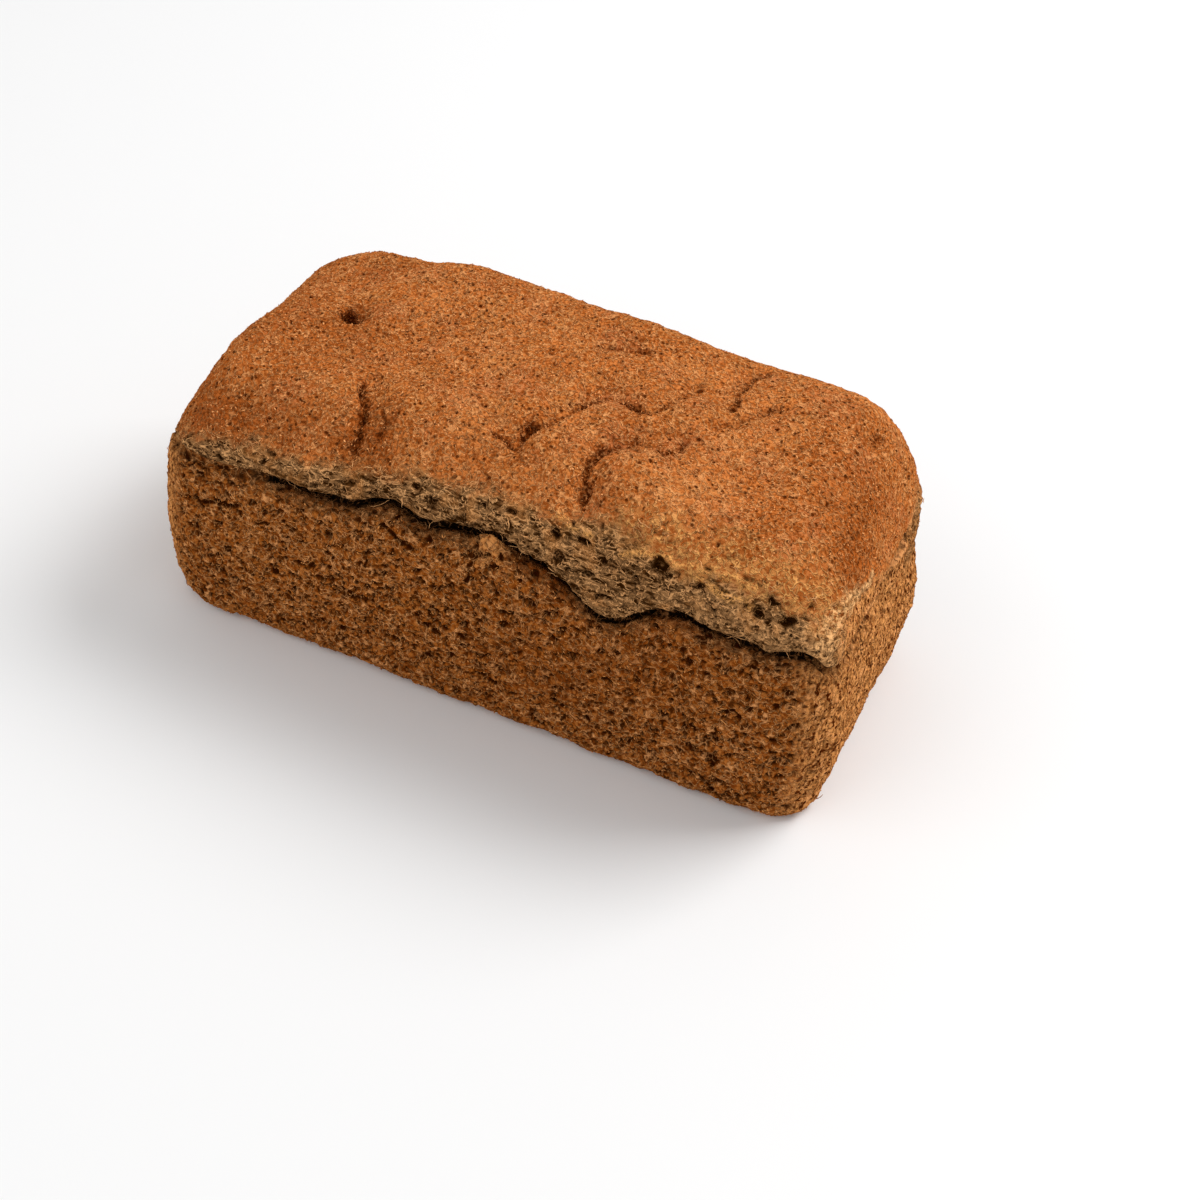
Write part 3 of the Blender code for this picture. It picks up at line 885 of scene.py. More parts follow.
def strip_rim(points, front):
    """1 along the golden upper edge of the strip, which is broad on the right and faint on the left."""
    over = above_strip(points) + layers(points, RIM_EDGE_NOISE)
    right = smooth_step(points[:, 0], *RIM_RIGHT)
    reach = RIM_REACH_RIGHT * right
    rim = smooth_step(over, -3.0 - reach, 1.5 - reach) * (1 - smooth_step(over, 1.0, 2.5 + reach))
    return rim * smooth_step(front, *RIM_FACING) * (RIM_LEFT_SHARE + (1 - RIM_LEFT_SHARE) * right)


def pale_strip(points):
    """1 on the lower right of the strip, where the crumb is palest."""
    return smooth_step(points[:, 0], *PALE_ALONG) * (1 - smooth_step(points[:, 2], *PALE_UP))


def spot_share(points, spots):
    """How much darker (above 0) or lighter (below 0) than the rest each point is painted, from a list
    of spots.
    """
    total = np.zeros(len(points))
    for middle, spread, share in spots:
        total += share * np.exp(-((points - middle) ** 2).sum(axis=1) / spread ** 2)
    return total


def crease_depth(points):
    """Depth in millimetres of the crown's creases, and 0 to 1 how near their bottom a point is."""
    x, y = bent_pair(points, 1, CREASE_BENDS)
    uneven = np.clip(1.0 + layers(points, CREASE_NOISE), 0.4, 1.5)
    depth, bottom = np.zeros(len(points)), np.zeros(len(points))
    for run, half_width, deep in CREASES:
        gap = run_distance(x, y, run)
        line = np.exp(-(gap / half_width) ** 2)
        valley = VALLEY_SHARE * np.exp(-(gap / VALLEY_HALF_WIDTH) ** 2)
        depth = np.maximum(depth, deep * (line + valley))
        bottom = np.maximum(bottom, line * min(deep / CREASE_DARK_DEPTH, 1.0))
    hole = np.hypot(x - POKE_HOLE[0], y - POKE_HOLE[1]) / (0.75 * POKE_HOLE_RADIUS)
    hole = np.exp(-hole ** 4)
    high = smooth_step(points[:, 2], *CROWN_SIDE)
    depth = np.maximum(depth * uneven, POKE_HOLE_EXTRA_DEPTH * hole)
    return depth * high, np.maximum(bottom * uneven, hole) * high


def torn_edge(points):
    """1 along the raised torn edges of the strip, 0 away from them."""
    x, z = bent_pair(points, 2, TORN_EDGE_BENDS)
    gap = np.min([run_distance(x, z, edge) for edge in TORN_EDGES], axis=0)
    uneven = np.clip(0.8 + layers(points, TORN_EDGE_NOISE), 0.2, 1.0)
    return uneven * np.exp(-(gap / TORN_EDGE_HALF_WIDTH) ** 2)


def strip_hole_depth(points):
    """Depth in millimetres of the few large holes in the torn strip."""
    depth = np.zeros(len(points))
    x, z = bent_pair(points, 2, HOLE_BENDS)
    for along, up, radius, deep in STRIP_HOLES:
        gap = np.hypot((x - along) / STRIP_HOLE_STRETCH, z - up) / radius
        depth = np.maximum(depth, deep * np.exp(-gap ** 3))
    return depth


def crown_crust(points):
    """Relief of whole crust in millimetres, and how deep in a pore a point lies."""
    bent = warped(points, *CROWN_WARP)
    pores = hollows(bent, **CROWN_PORES)
    dimples = net_hollows(bent, **CROWN_DIMPLES)
    relief = layers(points, CRUST_GRAIN) - CROWN_PORE_DEPTH * pores - CROWN_DIMPLE_DEPTH * dimples
    return relief, np.maximum(0.9 * pores, 0.3 * dimples)


def strip_relief(points):
    """Torn crumb in millimetres, minus its holes, and how deep in a hole a point lies."""
    bent = warped(points, *CRUMB_WARP)
    large = hollows(bent, **CRUMB_HOLES)
    small = hollows(bent, **CRUMB_PORES)
    holes = strip_hole_depth(points)
    pit = np.maximum(np.maximum(large, 0.7 * small), np.clip(holes / STRIP_HOLE_DARK_DEPTH, 0, 1))
    relief = BASE_RELIEF + layers(bent, CRUMB_LINES) + layers(points, CRUMB_LUMPS)
    return relief - CRUMB_HOLE_DEPTH * large - CRUMB_PORE_DEPTH * small - holes, pit


def dress_crown(skin):
    """Push the crown's grain, pores and torn crumb into it, and keep what the colours need."""
    points, facing = skin.points, skin.normals()
    front = -facing[:, 1]
    strip = strip_share(points, front)
    bare = strip * smooth_step(skin.offsets, *STRIP_FROM_TEAR)
    crust, pores = crown_crust(points)
    crumb, holes = strip_relief(points)
    creases, bottom = crease_depth(points)
    ridge = end_ridge(points)
    torn = torn_edge(points) * smooth_step(front, *TORN_FACING)
    push = (1 - strip) * crust - creases + bare * crumb
    push += END_RIDGE_HEIGHT * ridge + TORN_EDGE_HEIGHT * torn
    skin.points = points + facing * push[:, None]
    baked = spot_share(points, BAKED_SPOTS) + layers(points, CROWN_BAKE_NOISE)
    return {
        "strip": strip,
        # Painted shade in the crust's pores and the strip's holes
        "pit": np.clip((1 - strip) * pores + bare * holes, 0, 1),
        # Painted shade: the tear's ceiling near black where it gapes
        "inside": (1 - smooth_step(skin.offsets, *CEILING_FADE)) * np.clip(2.5 * skin.gape, 0, 1),
        # Painted shade at the bottoms of the creases and in the poke hole
        "crease_and_hole_shade": np.clip(bottom, 0, 1),
        "end": end_share(points, facing),
        # Painted highlight along the raised edge of skin on the end
        "ridge": ridge,
        "corner": corner_share(points),
        # Painted shade on the strip's lower part, where it turns under the lip
        "under": (1 - smooth_step(skin.offsets, *LIP_SHADE)) * np.clip(1.5 * skin.gape - 0.3, 0, 1),
        # Painted shade in the crease valleys
        "valley": np.clip(creases / VALLEY_DARK_DEPTH, 0, 1),
        "dark": np.clip(baked, 0, 1),
        "light": np.clip(-baked, 0, 1),
        "red": 1 - smooth_step(points[:, 0], *RED_ALONG),
        "rim": strip_rim(points, front),
        "torn": torn,
        "pale": strip * pale_strip(points),
    }


def tear_flap(points, facing):
    """How far a point belongs to the flap of wall that nearly shuts the tear, 0 to 1."""
    side = (points[:, 0] + layers(points, TEAR_FLAP_SIDES) - TEAR_FLAP_ALONG) / TEAR_FLAP_HALF_WIDTH
    foot = points[:, 2] + layers(points, TEAR_FLAP_FOOT_NOISE) - TEAR_FLAP_FOOT
    above = smooth_step(foot, *FLAP_UP) * smooth_step(-facing[:, 1], *FLAP_FACING)
    return np.exp(-side ** 4) * above


def wall_cracks(points, front):
    """Depth in millimetres of the long cracks in the front wall."""
    x, z = bent_pair(points, 2, CRACK_BENDS)
    uneven = np.clip(0.75 + layers(points, CRACK_NOISE), 0, 1.4)
    cracks = np.zeros(len(points))
    for run, half_width, depth in WALL_CRACKS:
        gap = run_distance(x, z, run)
        cracks = np.maximum(cracks, depth * np.exp(-(gap / half_width) ** 2) * front * uneven)
    return cracks


def wall_crust(points, end):
    """Rough relief of the walls in millimetres, and how deep in a pit a point lies."""
    bent = warped(points, *WALL_WARP)
    large = hollows(bent, **WALL_HOLES)
    net = net_hollows(bent, **WALL_NET)
    fine = net_hollows(bent, **WALL_FINE_NET)
    wide = hollows(warped(points, *DENT_WARP), **WALL_DENTS)
    pits = WALL_HOLE_DEPTH * large + WALL_NET_DEPTH * net
    pits += WALL_FINE_NET_DEPTH * fine + WALL_DENT_DEPTH * wide
    rough = layers(points, WALL_ROUGHNESS) * (1 - END_SMOOTHNESS * end)
    rough += end * layers(points, END_STREAKS) + layers(points, WALL_SWELL_NOISE)
    relief = BASE_RELIEF + rough - (1 - END_PIT_LOSS * end) * pits
    deep = np.maximum(np.maximum(0.9 * large, net), 0.8 * fine) * (1 - END_SMOOTHNESS * end)
    return relief, deep + 0.3 * wide


def dress_walls(skin):
    """Push the walls' rough relief, pits and cracks into them, and keep what the colours need."""
    points, facing = skin.points, skin.normals()
    end = smooth_step(np.abs(facing[:, 0]), *WALL_END_FACING)
    standing = smooth_step(points[:, 2], *WALL_STANDING)
    crust, pits = wall_crust(points, end)
    cracks = wall_cracks(points, smooth_step(-facing[:, 1], *WALL_FRONT_FACING))
    ridge = end_ridge(points)
    below_tear = 1 - smooth_step(skin.offsets, *WALL_RELIEF_END)
    flap = tear_flap(points, facing)
    rise = flap * smooth_step(skin.offsets, *FLAP_FROM_TEAR)
    rise *= 1 - smooth_step(skin.offsets, *FLAP_END)
    push = (crust - cracks + END_RIDGE_HEIGHT * ridge) * standing + TEAR_FLAP_PUSH * rise
    skin.points = points + facing * (push * below_tear)[:, None]
    skin.points[:, 2] += TEAR_FLAP_RISE * rise
    uncovered = 1 - FLAP_COVER * flap
    edge = smooth_step(skin.offsets, *WALL_EDGE) * np.clip(1.4 * skin.gape, 0, 1)
    # Darker spots and mottle; the small spots just under the tear are painted shade
    baked = spot_share(points, DARK_WALL_SPOTS) + layers(points, WALL_BAKE_NOISE)
    return {
        "dark": np.clip(baked, 0, 1),
        "end": end,
        # Painted shade in the pits and cracks
        "pit": np.clip(np.maximum(pits, cracks), 0, 1) * standing,
        # Painted shade: the tear's floor near black where it gapes, less under the flap
        "inside": smooth_step(skin.offsets, *FLOOR_FADE) * np.clip(2.5 * skin.gape, 0, 1) * uncovered,
        # Torn crumb along the tear's lower edge, with painted shade under its overhang
        "edge": edge * uncovered,
        "flap": flap,
        # Painted highlight along the raised edge of skin on the end
        "ridge": ridge,
        "patch": end_patch(points),
        "foot": 1 - smooth_step(points[:, 2], *WALL_FOOT),
    }


def fit_to_box(skins):
    """Scale the pieces together so that they just fill the solid's box."""
    every = np.concatenate([skin.points for skin in skins])
    low, high = every.min(axis=0), every.max(axis=0)
    for skin in skins:
        skin.points = BOX_LOW + (skin.points - low) * (BOX_HIGH - BOX_LOW) / (high - low)


def add_piece(name, points, faces, values, material):
    """One mesh object from points in millimetres, riding on the loaf's body."""
    mesh = bpy.data.meshes.new(name)
    mesh.from_pydata((points * MM).tolist(), [], faces)
    for key, value in values.items():
        layer = mesh.attributes.new(key, "FLOAT", "POINT")
        layer.data.foreach_set("value", np.asarray(value, np.float32))
    mesh.shade_smooth()
    mesh.update()
    piece = bpy.data.objects.new(name, mesh)
    bpy.context.scene.collection.objects.link(piece)
    mesh.materials.append(material)
    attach(piece, "root")
    return piece


class Shader:
    """A Principled material under construction, with short calls for the nodes it needs.

    Its calls take numbers, sockets and the names of values kept on the mesh's points.
    """

    def __init__(self, name, roughness):
        self.material = bpy.data.materials.new(name)
        self.material.use_nodes = True
        self.tree = self.material.node_tree
        self.surface = self.tree.nodes["Principled BSDF"]
        self.surface.inputs["Roughness"].default_value = roughness
        self.surface.inputs["Specular IOR Level"].default_value = 0.0
        self.place = self.tree.nodes.new("ShaderNodeTexCoord").outputs["Object"]

    def link(self, source, target):
        """Set a socket from a number, another socket or a named value of the mesh."""
        if isinstance(source, str):
            source = self.attribute(source)
        if isinstance(source, bpy.types.NodeSocket):
            self.tree.links.new(source, target)
        else:
            target.default_value = source

    def attribute(self, name):
        """A value kept on the mesh's points."""
        node = self.tree.nodes.new("ShaderNodeAttribute")
        node.attribute_name = name
        return node.outputs["Fac"]

    def math(self, operation, a, b):
        """One sum on two values."""
        node = self.tree.nodes.new("ShaderNodeMath")
        node.operation = operation
        self.link(a, node.inputs[0])
        self.link(b, node.inputs[1])
        return node.outputs[0]

    def product(self, first, *others):
        """Product of values."""
        for other in others:
            first = self.math("MULTIPLY", first, other)
        return first

    def rest(self, *values):
        """What the product of values leaves of 1."""
        return self.math("SUBTRACT", 1.0, self.product(*values))

    def most(self, a, b):
        """The greater of two values."""
        return self.math("MAXIMUM", a, b)

    def over(self, under, colour, *shares):
        """One colour laid over another, as far as the product of the shares says."""
        node = self.tree.nodes.new("ShaderNodeMix")
        node.data_type = "RGBA"
        self.link(self.product(*shares), node.inputs["Factor"])
        self.link(under, node.inputs[MIX_UNDER])
        self.link(colour, node.inputs[MIX_OVER])
        return node.outputs[MIX_RESULT]

    def ramp(self, value, low, high):
        """Map a value from low..high to 0..1, held at the ends."""
        node = self.tree.nodes.new("ShaderNodeMapRange")
        node.interpolation_type = "SMOOTHSTEP"
        self.link(value, node.inputs["Value"])
        node.inputs["From Min"].default_value = low
        node.inputs["From Max"].default_value = high
        return node.outputs["Result"]

    def mapped(self, stretch, shift_mm):
        """Places on the object, squeezed along the axes and shifted."""
        mapping = self.tree.nodes.new("ShaderNodeMapping")
        mapping.inputs["Scale"].default_value = [1 / share for share in stretch]
        mapping.inputs["Location"].default_value = [shift_mm * MM] * 3
        self.link(self.place, mapping.inputs["Vector"])
        return mapping.outputs["Vector"]

    def noise(self, size_mm, detail=2.0, stretch=EVEN, shift_mm=0.0):
        """Noise with lumps of a given size in millimetres."""
        node = self.tree.nodes.new("ShaderNodeTexNoise")
        node.inputs["Scale"].default_value = 1 / (size_mm * MM)
        node.inputs["Detail"].default_value = detail
        self.link(self.mapped(stretch, shift_mm), node.inputs["Vector"])
        return node.outputs["Fac"]

    def patches(self, size_mm, low, high, detail=2.0, stretch=EVEN, shift_mm=0.0):
        """Patches of a given size, 0 where their noise is under low and 1 where it is over high."""
        return self.ramp(self.noise(size_mm, detail, stretch, shift_mm), low, high)

    def fibres(self, size_mm, width, stretch=EVEN, shift_mm=0.0):
        """Short curly lines, 1 along their middle."""
        level = self.noise(size_mm, 1.0, stretch, shift_mm)
        off = self.math("ABSOLUTE", self.math("SUBTRACT", level, 0.5), 0.0)
        breaks = self.patches(0.8 * size_mm, 0.38, 0.55, 1.0, stretch, shift_mm + FIBRE_BREAK_SHIFT)
        return self.product(self.rest(self.ramp(off, 0.0, width)), breaks)

    def dots(self, size_mm, reach, shift_mm=0.0):
        """Round spots, one to a cell of a given size, strong in some cells only."""
        node = self.tree.nodes.new("ShaderNodeTexVoronoi")
        node.inputs["Scale"].default_value = 1 / (size_mm * MM)
        self.link(self.mapped(EVEN, shift_mm), node.inputs["Vector"])
        split = self.tree.nodes.new("ShaderNodeSeparateColor")
        self.link(node.outputs["Color"], split.inputs["Color"])
        spot = self.rest(self.ramp(node.outputs["Distance"], 0.3 * reach, reach))
        return self.product(spot, self.ramp(split.outputs["Red"], 0.35, 0.85))

    def finish(self, tone, fine, threads, pores, bump_mm):
        """Colour the surface, and give it relief finer than the mesh."""
        raised = self.math("ADD", fine, self.product(threads, THREAD_BUMP))
        node = self.tree.nodes.new("ShaderNodeBump")
        node.inputs["Distance"].default_value = bump_mm * MM
        self.link(self.math("SUBTRACT", raised, pores), node.inputs["Height"])
        self.link(node.outputs["Normal"], self.surface.inputs["Normal"])
        self.link(tone, self.surface.inputs["Base Color"])


# Colours of crust and crumb: linear red, green, blue, and opacity
CRUST_ORANGE = (0.71, 0.222, 0.052, 1)
CRUST_BROWN = (0.36, 0.084, 0.012, 1)
CRUST_DARK = (0.105, 0.018, 0.0015, 1)
CRUST_PALE = (0.96, 0.425, 0.150, 1)
CRUST_GOLD = (0.66, 0.260, 0.070, 1)
CRUST_ROSE = (0.60, 0.205, 0.078, 1)
CRUST_RED = (0.42, 0.095, 0.013, 1)
CRUST_LIGHT = (0.86, 0.32, 0.090, 1)
CRUST_DEEP = (0.17, 0.034, 0.004, 1)
WALL_TAN = (0.46, 0.153, 0.031, 1)
WALL_BROWN = (0.205, 0.045, 0.0045, 1)
WALL_AMBER = (0.43, 0.115, 0.012, 1)
WALL_PALE = (0.80, 0.350, 0.122, 1)
WALL_DARK = (0.036, 0.0065, 0.0003, 1)
CRUMB_PALE = (0.96, 0.490, 0.195, 1)
CRUMB_GREY = (0.33, 0.158, 0.058, 1)
CORNER_PALE = (0.98, 0.52, 0.210, 1)
CRUMB_DARK = (0.040, 0.012, 0.0012, 1)
CRUMB_GOLD = (0.95, 0.440, 0.125, 1)
# Painted shade: near black for the deep inside of the tear
GAP_PAINTED_SHADE = (0.006, 0.003, 0.0015, 1)
END_TAN = (0.82, 0.345, 0.102, 1)
END_BROWN = (0.33, 0.112, 0.026, 1)

# Sockets of a colour mix
MIX_UNDER, MIX_OVER, MIX_RESULT = 6, 7, 2

# Shift in millimetres between the noise that draws fibres and the one that breaks them
FIBRE_BREAK_SHIFT = 31.0

# Finishes: fine relief in millimetres, the threads' share of it, and roughness
CROWN_BUMP_MM = 0.7
WALL_BUMP_MM = 0.9
THREAD_BUMP = 0.8
CROWN_SURFACE_ROUGHNESS = 0.8
WALL_SURFACE_ROUGHNESS = 0.85
SCATTER_ROUGHNESS = 0.7


def crumb_colour(shader):
    """Grey-beige torn crumb with fine lines along it and curly threads."""
    tone = shader.over(CRUMB_DARK, CRUMB_GREY, shader.patches(1.3, 0.38, 0.60, 3.0, (3.0, 1.2, 0.8)))
    wavy = shader.fibres(2.6, 0.045, (2.2, 1.0, 0.9))
    curly = shader.fibres(1.7, 0.045, (1.3, 1.0, 1.0), 7.0)
    tone = shader.over(tone, CRUMB_PALE, shader.most(wavy, curly), 0.82)
    return shader.over(tone, CRUST_GOLD, shader.patches(8.0, 0.50, 0.66), 0.35)


def end_colour(shader, pores):
    """Tan crust of the ends, finely streaked up and down and flecked, with painted shade in its pores.
    """
    tone = shader.over(END_BROWN, END_TAN, shader.patches(1.1, 0.36, 0.62, 3.0, (1.0, 1.0, 4.0)))
    tone = shader.over(tone, CRUST_PALE, shader.fibres(2.4, 0.07, (1.0, 1.0, 2.0), 17.0), 0.85)
    flecks = shader.patches(1.4, 0.57, 0.64, 2.0, (1.0, 1.0, 1.6), 11.0)
    # Dark flecks, and painted shade in the pores
    return shader.over(tone, CRUST_DARK, shader.most(pores, flecks))


def crown_base(shader, fine, threads, pores):
    """Colour of the whole crust of the crown, without strip and folds, with painted shade in its pores.
    """
    spread = shader.ramp(fine, 0.38, 0.62)
    rosy = shader.patches(14.0, 0.48, 0.64, shift_mm=40.0)
    tone = shader.over(CRUST_BROWN, shader.over(CRUST_ORANGE, CRUST_ROSE, rosy, 0.6), spread)
    gold = shader.over(CRUST_BROWN, CRUST_GOLD, spread)
    tone = shader.over(tone, gold, shader.patches(9.0, 0.48, 0.68), 0.55)
    tone = shader.over(tone, shader.over(CRUST_ORANGE, CRUST_LIGHT, spread), "light")
    tone = shader.over(tone, CRUST_RED, "red", 0.40)
    tone = shader.over(tone, CRUST_DEEP, shader.fibres(2.4, 0.05, shift_mm=13.0), 0.55)
    tone = shader.over(tone, shader.over(CRUST_DEEP, CRUST_RED, spread), "dark", 0.95)
    tone = shader.over(tone, CRUST_PALE, threads, 0.68, shader.rest("dark", 0.6))
    # Painted shade in the fine sunk pores
    return shader.over(tone, CRUST_DARK, pores, 0.9)


def crown_bare(shader, tone, fine, threads):
    """The torn strip of the crown, with its golden rim, torn edges and pale corner, and painted shade
    where it turns under the lip.
    """
    tone = shader.over(tone, crumb_colour(shader), "strip")
    bright = shader.patches(1.6, 0.40, 0.62)
    rim = shader.over(CRUST_BROWN, CRUST_GOLD, shader.most(threads, bright))
    tone = shader.over(tone, shader.over(rim, CRUMB_GOLD, threads), "rim", 0.80)
    broken = shader.most(threads, shader.ramp(fine, 0.42, 0.58))
    tone = shader.over(tone, CRUMB_GOLD, "torn", broken)
    tone = shader.over(tone, CRUMB_PALE, "pale", bright, 0.40)
    tone = shader.over(tone, CORNER_PALE, "corner", bright, 0.95)
    # Painted shade low on the strip, where it turns under the lip
    return shader.over(tone, CRUMB_DARK, "under", 0.45)


def crown_hollows(shader, tone, fine):
    """Painted shade in the crown's pits, creases and the gap of the tear, and a painted highlight along
    the raised edge of skin on its end.
    """
    bridged = shader.rest(shader.fibres(2.6, 0.07, (1.6, 1.0, 1.0), 23.0), 0.8)
    dark = shader.over(CRUST_DARK, CRUMB_DARK, "strip")
    # Painted shade in pits and holes, broken by threads
    tone = shader.over(tone, dark, shader.ramp("pit", 0.08, 0.6), bridged)
    # Painted shade in the crease valleys, darker at their bottoms and in the poke hole
    tone = shader.over(tone, CRUST_DEEP, "valley", shader.ramp(fine, 0.68, 0.30), 0.90)
    grainy = shader.math("ADD", 0.45, shader.product(shader.ramp(fine, 0.60, 0.42), 0.50))
    tone = shader.over(tone, CRUST_DARK, shader.ramp("crease_and_hole_shade", 0.10, 0.75), grainy)
    # Painted highlight along the raised edge of skin on the end
    tone = shader.over(tone, CRUST_PALE, "ridge")
    # Painted shade: the gap of the tear near black, broken by threads
    return shader.over(tone, GAP_PAINTED_SHADE, "inside", bridged)


def crown_material():
    """Red-brown top crust with pale bran, and the torn strip of crumb under it."""
    shader = Shader("crown_crust", CROWN_SURFACE_ROUGHNESS)
    fine = shader.noise(0.9, 3.0)
    threads = shader.most(shader.fibres(3.0, 0.065), shader.fibres(2.2, 0.065, shift_mm=5.0))
    pores = shader.most(shader.dots(1.7, 0.36), shader.dots(2.6, 0.28, 3.0))
    tone = crown_base(shader, fine, threads, pores)
    tone = shader.over(tone, end_colour(shader, pores), "end")
    tone = crown_bare(shader, tone, fine, threads)
    tone = crown_hollows(shader, tone, fine)
    shader.finish(tone, fine, threads, pores, CROWN_BUMP_MM)
    return shader.material


def wall_base(shader, fine, threads, pores):
    """Mottled brown of the walls, with dark curls, pale threads and painted shade in pores."""
    tone = shader.over(WALL_BROWN, WALL_TAN, shader.ramp(fine, 0.40, 0.62))
    tone = shader.over(tone, WALL_AMBER, shader.patches(3.4, 0.52, 0.66), 0.45)
    tone = shader.over(tone, WALL_DARK, shader.fibres(3.0, 0.065, shift_mm=19.0), 0.85)
    tone = shader.over(tone, WALL_PALE, threads, 0.95)
    # Painted shade in the fine sunk pores
    return shader.over(tone, WALL_DARK, pores, 0.85)


def wall_regions(shader, tone, fine, crumb):
    """What differs from place to place on the walls: foot, torn edge with painted shade under the tear,
    darker spots and flap.
    """
    tone = shader.over(tone, WALL_TAN, "foot", 0.35)
    tone = shader.over(tone, crumb, "edge", 0.45)
    # Painted shade on the wall under the overhang of the tear
    tone = shader.over(tone, WALL_DARK, "edge", shader.patches(2.4, 0.30, 0.60), 0.65)
    # Darker spots; the small ones just under the tear are painted shade
    patchy = shader.math("ADD", 0.35, shader.product(shader.ramp(fine, 0.60, 0.40), 0.50))
    tone = shader.over(tone, WALL_BROWN, "dark", patchy)
    return shader.over(tone, END_TAN, "flap", shader.ramp(fine, 0.40, 0.58), 0.60)


def wall_material():
    """Darker, pitted tin-baked crust, paler on the ends."""
    shader = Shader("wall_crust", WALL_SURFACE_ROUGHNESS)
    fine = shader.noise(1.2, 3.0)
    threads = shader.most(shader.fibres(3.6, 0.060), shader.fibres(2.6, 0.060, shift_mm=5.0))
    pores = shader.most(shader.dots(1.9, 0.42), shader.dots(3.0, 0.34, 3.0))
    crumb = crumb_colour(shader)
    ends = shader.over(end_colour(shader, pores), crumb, "patch", 0.8)
    # Painted highlight along the raised edge of skin on the end
    ends = shader.over(ends, CRUST_PALE, "ridge")
    tone = shader.over(wall_base(shader, fine, threads, pores), ends, "end")
    tone = wall_regions(shader, tone, fine, crumb)
    bridged = shader.rest(threads, 0.6)
    # Painted shade in the pits and cracks, broken by threads
    tone = shader.over(tone, WALL_DARK, shader.ramp("pit", 0.1, 0.7), bridged)
    # Painted shade: the gap of the tear near black, broken by threads
    tone = shader.over(tone, GAP_PAINTED_SHADE, "inside", bridged)
    shader.finish(tone, fine, threads, pores, WALL_BUMP_MM)
    return shader.material


def scatter_material(name, dark, pale):
    """Finish of the scattered pieces, from dark to pale by each piece's own tone."""
    shader = Shader(name, SCATTER_ROUGHNESS)
    shader.link(shader.over(dark, pale, "tone"), shader.surface.inputs["Base Color"])
    return shader.material


def plain_material(name, colour, roughness):
    """One even finish, for the floor."""
    material = bpy.data.materials.new(name)
    material.use_nodes = True
    surface = material.node_tree.nodes["Principled BSDF"]
    surface.inputs["Base Color"].default_value = colour
    surface.inputs["Roughness"].default_value = roughness
    return material


def add_floor():
    """Plain pale floor."""
    half = FLOOR_HALF
    corners = [(-half, -half, 0), (half, -half, 0), (half, half, 0), (-half, half, 0)]
    mesh = bpy.data.meshes.new("floor")
    mesh.from_pydata(corners, [], [(0, 1, 2, 3)])
    mesh.materials.append(plain_material("floor", FLOOR_COLOUR, FLOOR_ROUGHNESS))
    floor = bpy.data.objects.new("floor", mesh)
    bpy.context.scene.collection.objects.link(floor)


def add_light(name, place, size, power):
    """Soft square lamp that looks at the loaf."""
    lamp = bpy.data.lights.new(name, "AREA")
    lamp.size = size
    lamp.energy = power
    light = bpy.data.objects.new(name, lamp)
    light.location = place
    ahead = Vector(LAMP_AIM) - Vector(place)
    light.rotation_euler = ahead.to_track_quat("-Z", "Y").to_euler()
    bpy.context.scene.collection.objects.link(light)


def add_lights():
    """Soft studio light from behind and to the right, filled from all round."""
    for lamp in LAMPS:
        add_light(*lamp)
    world = bpy.data.worlds.new("studio")
    world.use_nodes = True
    sky = world.node_tree.nodes["Background"]
    sky.inputs["Color"].default_value = (1, 1, 1, 1)
    sky.inputs["Strength"].default_value = SKY_STRENGTH
    bpy.context.scene.world = world
    bpy.context.scene.view_settings.view_transform = "Standard"


def add_camera():
    """The camera at the photograph's place, turned about its own axis like it."""
    around, above, roll = (math.radians(a) for a in (CAMERA_AROUND, CAMERA_ABOVE, CAMERA_ROLL))
    level = math.cos(above)
    back = Vector((math.sin(around) * level, -math.cos(around) * level, math.sin(above)))
    right = (-back).cross(Vector((0, 0, 1))).normalized()
    up = right.cross(-back)
    turned_right = math.cos(roll) * right + math.sin(roll) * up
    turned_up = -math.sin(roll) * right + math.cos(roll) * up
    place = (turned_right * CAMERA_RIGHT + turned_up * CAMERA_UP + back * CAMERA_DISTANCE) * MM
    lens = bpy.data.cameras.new("camera")
    lens.lens = CAMERA_LENS
    camera = bpy.data.objects.new("camera", lens)
    camera.matrix_world = Matrix((turned_right, turned_up, back)).transposed().to_4x4()
    camera.location = place
    bpy.context.scene.collection.objects.link(camera)
    bpy.context.scene.camera = camera


def side_directions(facing, dice):
    """For each outward direction, two directions across it, turned at random."""
    helper = np.where(np.abs(facing[:, 2:3]) < 0.8, (0.0, 0.0, 1.0), (1.0, 0.0, 0.0))
    across = np.cross(facing, helper)
    across /= np.linalg.norm(across, axis=1, keepdims=True)
    other = np.cross(facing, across)
    turn = dice.uniform(0, 2 * np.pi, (len(facing), 1))
    return np.cos(turn) * across + np.sin(turn) * other, np.cos(turn) * other - np.sin(turn) * across


def inside_box(points):
    """Whether all points of each piece lie in the solid's box."""
    return ((points >= BOX_LOW) & (points <= BOX_HIGH)).all(axis=(1, 2))


